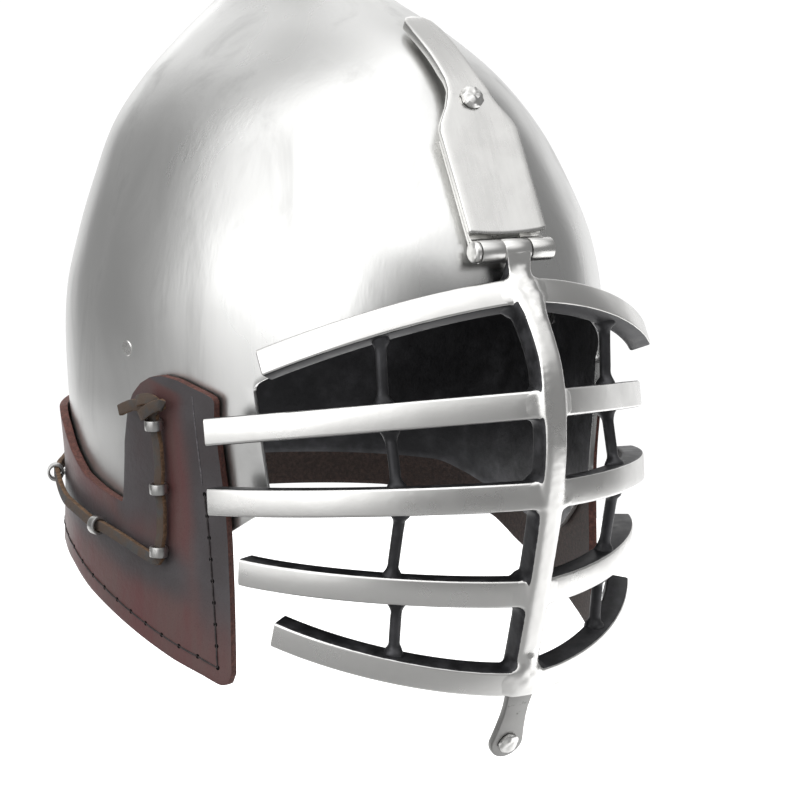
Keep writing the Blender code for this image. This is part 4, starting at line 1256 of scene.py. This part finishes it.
def make_spine():
    """The central bar with its weld to every bar and the knuckle's neck, joined into one skin."""
    bm = bmesh.new()
    stations = spine_stations(0.0024)
    loops = []
    for spot, out, level in stations:
        half = SPINE_WIDTH / 2 * smooth_value(SPINE_LINE, 2, level)
        depth = 0.0021 + (SPINE_DEPTH - 0.0021) * ease(level, 0.016, 0.062)
        section = slab_section(half, depth, min(0.0026, depth * 0.45), min(0.0014, depth * 0.4), 4)
        loops.append([spot + Vector((height, 0, 0)) - out * inward for height, inward, _ in section])
    add_sweep(bm, loops)
    for bar in BARS:
        stubs = ((0.0150, -0.0006), (0.0120, -0.0002), (0.0100, 0.0001), (0.0080, 0.0003), (0.0060, 0.0005),
                 (0.0036, 0.0006))
        ends = [(-x, grow) for x, grow in stubs] + [(x, grow) for x, grow in reversed(stubs)]
        add_sweep(bm, [bar_loop(bar, math.copysign(bar_turn(bar, abs(x)), x), grow) for x, grow in ends])
        tilt = math.radians(bar[2])
        across = Vector((0, -math.sin(tilt), math.cos(tilt)))
        for side in (-1, 1):
            for up in (-1, 1):
                for depth, size in ((0.0036, 0.0020), (0.0056, 0.0024), (0.0076, 0.0026)):
                    spot = bar_point(bar, side * bar_turn(bar, 0.0062), depth) + across * up * 0.0056
                    bmesh.ops.create_icosphere(bm, subdivisions=2, radius=size,
                                               matrix=Matrix.Translation(spot))
    for level, side, high, radius in NECK_LUMPS:
        spot, out, _ = min(stations, key=lambda row: abs(row[2] - level))
        place = spot + Vector((side * MM, 0, 0)) + out * (high - radius * 0.72) * MM
        bmesh.ops.create_icosphere(bm, subdivisions=2, radius=radius * MM, matrix=Matrix.Translation(place))
    close_shell(bm, 1e-6)
    bm = melt(bm, "spine_join", 0.00075, 8)
    layer = bm.verts.layers.float.new("bright")
    for vert in bm.verts:
        _, out, level = min(stations, key=lambda row: abs(row[0].z - vert.co.z))
        if abs(vert.co.x) > 0.0070:
            bar = min(BARS, key=lambda row: abs(PIN_LEVEL - row[0] * VISOR_HEIGHT - vert.co.z))
            tilt = math.radians(bar[2])
            out = Vector((0, -math.cos(tilt), -math.sin(tilt)))
        vert[layer] = ease(vert.normal.dot(out), 0.42, 0.72)
        lump = noise.noise(vert.co * 260.0) + 0.6 * noise.noise(vert.co * 520.0)
        weld = smooth_value(SPINE_LINE, 3, level) if abs(vert.co.x) < 0.012 else 0.25
        vert.co += vert.normal * lump * 0.00022 * weld
    wide, bore, outer = MIDDLE_KNUCKLE_WIDTH / 2, PIN_DIAMETER / 2 + CLEARANCE, KNUCKLE_DIAMETER / 2
    profile = [(bore, -wide + 0.0003), (bore + 0.0003, -wide), (outer - 0.0006, -wide),
               (outer, -wide + 0.0006), (outer + 0.0001, 0.0), (outer, wide - 0.0006),
               (outer - 0.0006, wide), (bore + 0.0003, wide), (bore, wide - 0.0003),
               (bore, -wide + 0.0003)]
    add_turned(bm, PIN, (1, 0, 0), profile, 40)
    return add_piece("visor_spine", bm, ["visor"], "visor", ["visor"], 50, 1e-7)


def make_rods():
    """Round rods between the bars, thicker where the weld runs up them."""
    bm = bmesh.new()
    for number, place in enumerate(ROD_PLACES):
        for side in (-1, 1):
            x = place * ROD_SPREAD
            start, end = [bar_point(bar, bar_turn(bar, x) * side, form().bar_depth * 0.55)
                          for bar in (BARS[number], BARS[number + 1])]
            way = (end - start).normalized()
            across = way.cross(Vector((0, 1, 0))).normalized()
            front = across.cross(way)
            loops, rows, sides = [], 40, 18
            length = (end - start).length
            for row in range(rows + 1):
                at = length * row / rows
                near = min(at, length - at) - form().bar_height / 2
                radius = ROD_DIAMETER / 2 * (1 + 0.75 * math.exp(-(max(near, 0) / 0.0021) ** 2))
                loop = []
                for step in range(sides):
                    angle = math.tau * step / sides
                    way_out = across * math.cos(angle) + front * math.sin(angle)
                    spot = start + way * at + way_out * radius
                    loop.append(spot + way_out * 0.00035 * noise.noise(spot * 330.0)
                                * math.exp(-(max(near, 0) / 0.004) ** 2) * 2)
                loops.append(loop)
            add_sweep(bm, loops)
    return add_piece("visor_rods", bm, ["rod"], "visor", ["visor"], 50, 1e-6)


def tab_frame():
    """Start of the tab's front face at the foot of the central bar, its way down and its way out."""
    fall = math.radians(TAB_FALL)
    down = Vector((0, math.cos(fall), -math.sin(fall)))
    out = Vector((0, -math.sin(fall), -math.cos(fall)))
    return spine_stations(0.009)[-1][0] - out * 0.001, down, out


def make_tab():
    """Flat ear with a round end below the lowest bar."""
    start, down, out = tab_frame()
    neck, reach = TAB_WIDTH / 2, TAB_LENGTH - TAB_END_RADIUS
    outline = [(-neck, -0.006), (-0.92 * neck, 0.1 * reach), (-0.84 * neck, 0.35 * reach),
               (-0.86 * neck, 0.52 * reach), (-0.97 * neck, 0.75 * reach)]
    outline += [(-TAB_END_RADIUS * math.cos(angle), reach + TAB_END_RADIUS * math.sin(angle))
                for angle in (math.pi * step / 22 for step in range(23))]
    outline += [(-x, along) for x, along in reversed(outline[:5])]
    bm = bmesh.new()
    bm.verts.layers.float.new("bright")
    loop = [bm.verts.new(start + Vector((x, 0, 0)) + down * along) for x, along in outline]
    face = bm.faces.new(loop)
    made = bmesh.ops.extrude_face_region(bm, geom=[face])
    moved = [item for item in made["geom"] if isinstance(item, bmesh.types.BMVert)]
    bmesh.ops.translate(bm, verts=moved, vec=-out * TAB_THICKNESS)
    bmesh.ops.recalc_face_normals(bm, faces=bm.faces)
    rims = [edge for edge in bm.edges if edge.calc_face_angle(0) > math.radians(60)]
    bmesh.ops.bevel(bm, geom=rims, offset=0.0006, offset_type="OFFSET", segments=3, profile=0.5,
                    affect="EDGES", material=-1, clamp_overlap=True)
    bm.normal_update()
    layer = bm.verts.layers.float["bright"]
    for vert in bm.verts:
        vert[layer] = ease(vert.normal.dot(out), 0.30, 0.70)
    return add_piece("visor_tab", bm, ["tab"], "visor", ["visor"], 40)


def make_tab_stud():
    """The stud in the tab, hammered over on both faces."""
    start, down, out = tab_frame()
    place = start + down * (TAB_LENGTH - TAB_END_RADIUS)
    bm = bmesh.new()
    profile = dome_profile(0.0044, 0.0022, 0.8, 7)
    add_turned(bm, place + out * CLEARANCE, out, profile, 26, 0.0006, 1.7)
    add_turned(bm, place - out * (TAB_THICKNESS + CLEARANCE), -out, profile, 26, 0.0005, 4.1)
    add_turned(bm, place - out * (TAB_THICKNESS + 0.0006), out,
               [(0.0022, 0), (0.0022, TAB_THICKNESS + 0.0012)], 16)
    return add_piece("tab_stud_heads", bm, ["hinge"], "visor", ["tab_stud"], 24, 1e-7)


# The clip, the leaf and the pin

CLIP_WIDTH = 0.036
CLIP_LENGTH = 0.1145
CLIP_THICKNESS = 0.0028
CLIP_TAIL_THICKNESS = 0.0038
CLIP_LEAN = 29.0
CLIP_FOOT_GAP = 0.0024
CLIP_FOOT_BOW = 0.0014
CLIP_RIVET_LIFT = 0.0590
LEAF_THICKNESS = 0.0028
LEAF_LENGTH = 0.043
LEAF_SETBACK = 0.0023


def clip_frame():
    """Foot of the clip's front face, and the ways up along its flat part and out of it."""
    lean = math.radians(CLIP_LEAN)
    up = Vector((0, math.sin(lean), math.cos(lean)))
    out = Vector((0, -math.cos(lean), math.sin(lean)))
    face = PIN + out * (CLEARANCE + CLIP_THICKNESS - LEAF_SETBACK)
    return face + up * (KNUCKLE_DIAMETER / 2 + CLIP_FOOT_GAP), up, out


def clip_line():
    """Front line of the clip as many short steps: place, way out, half width, thickness."""
    spot = clip_frame()[0]
    places, reached = [], 0.0
    for lift, lean, half, tail in CLIP_ROWS:
        tilt = math.radians(lean)
        spot = spot + Vector((0, math.sin(tilt), math.cos(tilt))) * (lift - reached) * CLIP_LENGTH
        reached = lift
        places.append(spot)
    path = smooth_path(places, 0.0012)
    run = [0.0]
    for start, end in zip(path, path[1:]):
        run.append(run[-1] + (end - start).length)
    rows = []
    for index, spot in enumerate(path):
        along = way_along(path, index)
        lift = run[index] / run[-1]
        half = straight_value([(row[0], row[2]) for row in CLIP_ROWS], lift) * CLIP_WIDTH / 2
        tail = ease(lift, 0.56, 0.66)
        rows.append((spot, Vector((0, -along.z, along.y)), half,
                     CLIP_THICKNESS + (CLIP_TAIL_THICKNESS - CLIP_THICKNESS) * tail))
    return rows


def make_clip():
    """The turning plate with its long bent tail, ground bright with softened edges."""
    bm = bmesh.new()
    loops = []
    rows = clip_line()
    across = 12
    for index, (spot, out, half, thick) in enumerate(rows):
        up = Vector((0, out.z, -out.y))
        inset = 0.0004 if index in (0, len(rows) - 1) else 0.0
        section = slab_section(half - inset, thick - 2 * inset, 0.0007, 0.0006, 3)
        front = [(-half + inset + 0.0007 + (2 * half - 2 * inset - 0.0014) * step / across, 0.0)
                 for step in range(1, across)]
        points = [(height, depth + inset) for height, depth, _ in section] + [(x, inset) for x, _ in front]
        bow = CLIP_FOOT_BOW * (1 - ease(index, 0, 9))
        dent = [0.00016 * noise.noise(Vector((x * 70, spot.z * 60, 3.1))) for x, _ in points]
        loops.append([spot + Vector((x, 0, 0)) - out * (depth + dip) + up * bow * (x / half) ** 2
                      for (x, depth), dip in zip(points, dent)])
    add_sweep(bm, loops)
    return add_piece("clip_plate", bm, ["clip"], "clip", ["clip"], 38, 1e-6)


def make_clip_rivet():
    """Head of the rivet that the clip turns on, with its peened facets, and its closing head inside."""
    foot, up, out = clip_frame()
    centre = foot + up * CLIP_RIVET_LIFT
    bm = bmesh.new()
    add_turned(bm, centre + out * CLEARANCE, out, dome_profile(0.00475, 0.0030, 0.75, 7), 28, 0.0008, 2.3)
    depth = 0.0
    while (centre - out * depth).y < skull_point((centre - out * depth).z, 0.0).y and depth < 0.03:
        depth += 0.0001
    inside = centre - out * (depth + form().skull_wall * 1.3 + CLEARANCE)
    add_turned(bm, inside, -out, dome_profile(0.0040, 0.0016, 0.8, 5), 24, 0.0005, 6.0)
    add_turned(bm, inside, out, [(0.0023, 0), (0.0023, (centre - inside).dot(out) + 0.0005)], 20)
    return add_piece("clip_rivet_heads", bm, ["hinge"], "helmet", ["clip_rivet"], 24, 1e-7)


def strip(bm, centre_line, thickness, low_x, high_x):
    """A bent sheet whose side view is a line with a thickness, from one side to the other."""
    outer, inner = [], []
    for index, spot in enumerate(centre_line):
        along = way_along(centre_line, index)
        normal = Vector((0, -along.z, along.y))
        outer.append(spot + normal * thickness / 2)
        inner.append(spot - normal * thickness / 2)
    outline = outer + inner[::-1]
    middle = [(a + b) / 2 for a, b in zip(outer, inner)]
    shrunk = [spot.lerp(mid, 0.22) for spot, mid in zip(outline, middle + middle[::-1])]
    loops = []
    for x, ring in ((low_x, shrunk), (low_x + 0.0003, outline), (high_x - 0.0003, outline), (high_x, shrunk)):
        loops.append([Vector((x, spot.y, spot.z)) for spot in ring])
    add_sweep(bm, loops)


def make_leaf():
    """The doubled leaf: one sheet folded round the pin, with the visor's knuckle in its gap."""
    _, up, out = clip_frame()
    sheet = 0.00132
    ring = KNUCKLE_DIAMETER / 2 - sheet / 2
    high = KNUCKLE_DIAMETER / 2 + CLIP_FOOT_GAP + LEAF_LENGTH
    front, back = -LEAF_SETBACK - sheet / 2, -LEAF_SETBACK - LEAF_THICKNESS + sheet / 2
    side_view = [(high, front), (0.020, front), (0.0075, front), (0.0060, front + 0.0003), (0.0050, -0.0018),
                 (0.0043, -0.0004)]
    side_view += [(ring * math.cos(math.radians(turn)), ring * math.sin(math.radians(turn)))
                  for turn in range(20, 251, 23)]
    side_view += [(0.0016, back + 0.0002), (0.0050, back), (0.020, back), (high, back)]
    line = smooth_path([PIN + up * along + out * depth for along, depth in side_view], 0.0009)
    bm = bmesh.new()
    half, gap = HINGE_WIDTH / 2, MIDDLE_KNUCKLE_WIDTH / 2 + CLEARANCE
    strip(bm, line, sheet, -half, -gap)
    strip(bm, line, sheet, gap, half)
    for depth in (front, back):
        flat = [PIN + up * along + out * depth for along in (0.0078, 0.020, 0.034, high - 0.0002)]
        strip(bm, flat, sheet * 0.98, -gap - 0.0006, gap + 0.0006)
    return add_piece("leaf_strip", bm, ["hinge"], "helmet", ["hinge_leaf"], 40, 1e-6)


def make_pin():
    """The hinge pin with its flat hammered head on the wearer's right."""
    bm = bmesh.new()
    half, radius = HINGE_WIDTH / 2, PIN_DIAMETER / 2
    head = [(0.00012, 0.0026), (0.0018, 0.00255), (0.0034, 0.0024), (0.0041, 0.0020), (0.0045, 0.0012),
            (0.0044, 0.0004), (0.0041, 0.0), (radius, 0.0), (radius, -2 * half - 0.0002),
            (radius - 0.0003, -2 * half - 0.0008), (0.00012, -2 * half - 0.0009)]
    add_turned(bm, PIN - Vector((half + CLEARANCE, 0, 0)), (-1, 0, 0), head, 28, 0.00035, 5.2)
    return add_piece("hinge_pin_turned", bm, ["hinge"], "helmet", ["hinge_pin"], 28, 1e-7)


def make_skull_rivets():
    """The two flush rivets at the sides of the skull."""
    bm = bmesh.new()
    level = form().brow_level - 0.15 * form().skirt_height
    for side in (-1, 1):
        turn = math.radians(77) * side
        out = skull_normal(level, turn)
        add_turned(bm, skull_point(level, turn) - out * (form().skull_wall + 0.0003), out,
                   [(0.0033, 0), (0.0033, 0.0023), (0.0030, 0.00265), (0.0020, 0.00275), (0.00012, 0.0028)],
                   24, 0.0001, 3.0)
    return add_piece("skull_rivets", bm, ["hinge"], "helmet", ["skull_rivet_left", "skull_rivet_right"],
                     30, 1e-7)


def finish_spacer():
    """The dark washer keeps its solid and gets its finish."""
    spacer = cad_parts["clip_spacer"]
    spacer.data.materials.clear()
    spacer.data.materials.append(finish_of("black"))


# The stage

# Soft patches of light round the room: way towards it, degrees to its edge, to its full part, strength
SOFT_LIGHT = (
    ((0.51, 0.85, -0.13), 50.0, 36.0, 0.80),
    ((-0.99, -0.10, 0.04), 42.0, 20.0, 0.92),
    ((-0.72, -0.14, 0.68), 48.0, 28.0, 1.05),
    ((0.06, -0.46, 0.88), 50.0, 30.0, 0.88),
    ((-0.14, 0.28, 0.95), 42.0, 20.0, 0.45),
    ((0.42, 0.40, 0.81), 34.0, 16.0, 0.45),
)
ROOM_LIGHT = 0.27
CAMERA_BACK = (-0.5131, -0.8462, 0.1437)
CAMERA_RIGHT = (0.8551, -0.5185, 0.0)
FLOOR_WAY = (0.872, 0.474, 0.0)
LIT_PLACE = (0.0, 0.0, -0.09)


def make_camera():
    settings = bpy.context.scene.bascinet_stage
    data = bpy.data.cameras.new("camera")
    data.sensor_width = 36.0
    data.lens = settings.lens
    data.clip_start, data.clip_end = 0.05, 30.0
    camera = bpy.data.objects.new("camera", data)
    back, right = Vector(CAMERA_BACK).normalized(), Vector(CAMERA_RIGHT).normalized()
    turned = Matrix((right, back.cross(right), back)).transposed().to_4x4()
    camera.matrix_world = Matrix.Translation(settings.camera_place) @ turned
    bpy.context.scene.collection.objects.link(camera)
    bpy.context.scene.camera = camera


def make_sky():
    """Plain light from all round, with soft brighter patches."""
    sky = Nodes("surroundings", bpy.data.worlds, "Background", "Generated")
    total = None
    for way, edge, full, strength in SOFT_LIGHT:
        low = ROOM_LIGHT if total is None else 0.0
        patch = sky.spread(sky.toward(Vector(way).normalized()), math.cos(math.radians(edge)),
                           math.cos(math.radians(full)), low, low + strength)
        total = patch if total is None else sky.maths("ADD", total, patch)
    bpy.context.scene.world = sky.out(Color=total, Strength=1.0)
    bpy.context.scene.view_settings.view_transform = "Standard"


def make_floor():
    """A round pale floor, darker in front of the helmet."""
    settings = bpy.context.scene.bascinet_stage
    bm = bmesh.new()
    bmesh.ops.create_circle(bm, cap_ends=True, segments=96, radius=0.95)
    bmesh.ops.translate(bm, verts=bm.verts, vec=(0, 0, settings.floor_level))
    mesh = bpy.data.meshes.new("floor")
    bm.to_mesh(mesh)
    bm.free()
    made = Nodes("pale_floor")
    far = made.spread(made.toward(FLOOR_WAY), -0.18, 0.05)
    white = made.mix(far, (0.40 * settings.pale,) * 3, (settings.pale,) * 3)
    glow = made.mix(far, (0.0, 0.0, 0.0), (1.0, 1.0, 1.0))
    mesh.materials.append(made.out(Base_Color=white, Roughness=0.9, Emission_Color=glow,
                                   Emission_Strength=0.6))
    floor = bpy.data.objects.new("floor", mesh)
    bpy.context.scene.collection.objects.link(floor)


def soft_panel(name, place, size, power):
    """A soft panel of white light that faces the helmet."""
    data = bpy.data.lights.new(name, "AREA")
    data.shape = "RECTANGLE"
    data.size, data.size_y = size
    data.energy = power
    light = bpy.data.objects.new(name, data)
    light.location = place
    light.rotation_mode = "QUATERNION"
    light.rotation_quaternion = (Vector(LIT_PLACE) - Vector(place)).to_track_quat("-Z", "Y")
    bpy.context.scene.collection.objects.link(light)


def make_stage():
    make_camera()
    make_sky()
    make_floor()
    power = bpy.context.scene.bascinet_stage.key_power
    soft_panel("key_panel", (-1.70, -0.75, 0.55), (1.0, 1.5), power)
    soft_panel("brow_panel", (0.10, -1.15, 1.55), (1.2, 0.8), power * 0.7)
    soft_panel("back_panel", (0.4, 1.7, 1.0), (1.6, 1.2), power * 1.5)


class BASCINET_OT_skull(bpy.types.Operator):
    """Makes the steel skull with its face opening, hem and side rivets"""
    bl_idname = "bascinet.skull"
    bl_label = "Skull"

    def execute(self, context):
        make_skull()
        make_skull_rivets()
        return {"FINISHED"}


class BASCINET_OT_collar(bpy.types.Operator):
    """Makes the leather collar and its sewn edge"""
    bl_idname = "bascinet.collar"
    bl_label = "Collar"

    def execute(self, context):
        make_collar()
        make_stitches()
        return {"FINISHED"}


class BASCINET_OT_lace(bpy.types.Operator):
    """Makes the staples, the lace through them and its two knots"""
    bl_idname = "bascinet.lace"
    bl_label = "Lace"

    def execute(self, context):
        make_staples()
        make_lace()
        make_knot(-1)
        make_knot(1)
        return {"FINISHED"}


class BASCINET_OT_visor(bpy.types.Operator):
    """Makes the bars, the central bar, the rods, the tab and its stud"""
    bl_idname = "bascinet.visor"
    bl_label = "Visor"

    def execute(self, context):
        make_bars()
        make_spine()
        make_rods()
        make_tab()
        make_tab_stud()
        return {"FINISHED"}


class BASCINET_OT_clip(bpy.types.Operator):
    """Makes the turning clip, its rivet, the doubled leaf and the pin"""
    bl_idname = "bascinet.clip"
    bl_label = "Clip and hinge"

    def execute(self, context):
        make_clip()
        make_clip_rivet()
        make_leaf()
        make_pin()
        finish_spacer()
        return {"FINISHED"}


class BASCINET_OT_stage(bpy.types.Operator):
    """Sets the camera, the lights and the floor"""
    bl_idname = "bascinet.stage"
    bl_label = "Stage"

    def execute(self, context):
        make_stage()
        return {"FINISHED"}


class BASCINET_PT_panel(bpy.types.Panel):
    """Lists the sizes, the finishes and the pieces"""
    bl_idname = "BASCINET_PT_panel"
    bl_label = "Bascinet"
    bl_space_type = "VIEW_3D"
    bl_region_type = "UI"
    bl_category = "Bascinet"

    def draw(self, context):
        column = self.layout.column()
        for settings in (context.scene.bascinet_form, context.scene.bascinet_finish,
                         context.scene.bascinet_stage):
            for name in settings.__annotations__:
                column.prop(settings, name)
        for made in PIECES:
            column.operator(made.bl_idname)


PIECES = (BASCINET_OT_stage, BASCINET_OT_skull, BASCINET_OT_collar, BASCINET_OT_lace, BASCINET_OT_visor,
          BASCINET_OT_clip)
SETTINGS = {"bascinet_form": BascinetFormSettings, "bascinet_finish": BascinetFinishSettings,
            "bascinet_stage": BascinetStageSettings}


def register():
    for made in (*SETTINGS.values(), *PIECES, BASCINET_PT_panel):
        bpy.utils.register_class(made)
    for name, kind in SETTINGS.items():
        setattr(bpy.types.Scene, name, PointerProperty(type=kind))


def unregister():
    for name in SETTINGS:
        delattr(bpy.types.Scene, name)
    for made in (BASCINET_PT_panel, *PIECES, *SETTINGS.values()):
        bpy.utils.unregister_class(made)


def main():
    register()
    bpy.ops.bascinet.stage()
    bpy.ops.bascinet.skull()
    bpy.ops.bascinet.collar()
    bpy.ops.bascinet.lace()
    bpy.ops.bascinet.visor()
    bpy.ops.bascinet.clip()


if __name__ == "__main__":
    main()
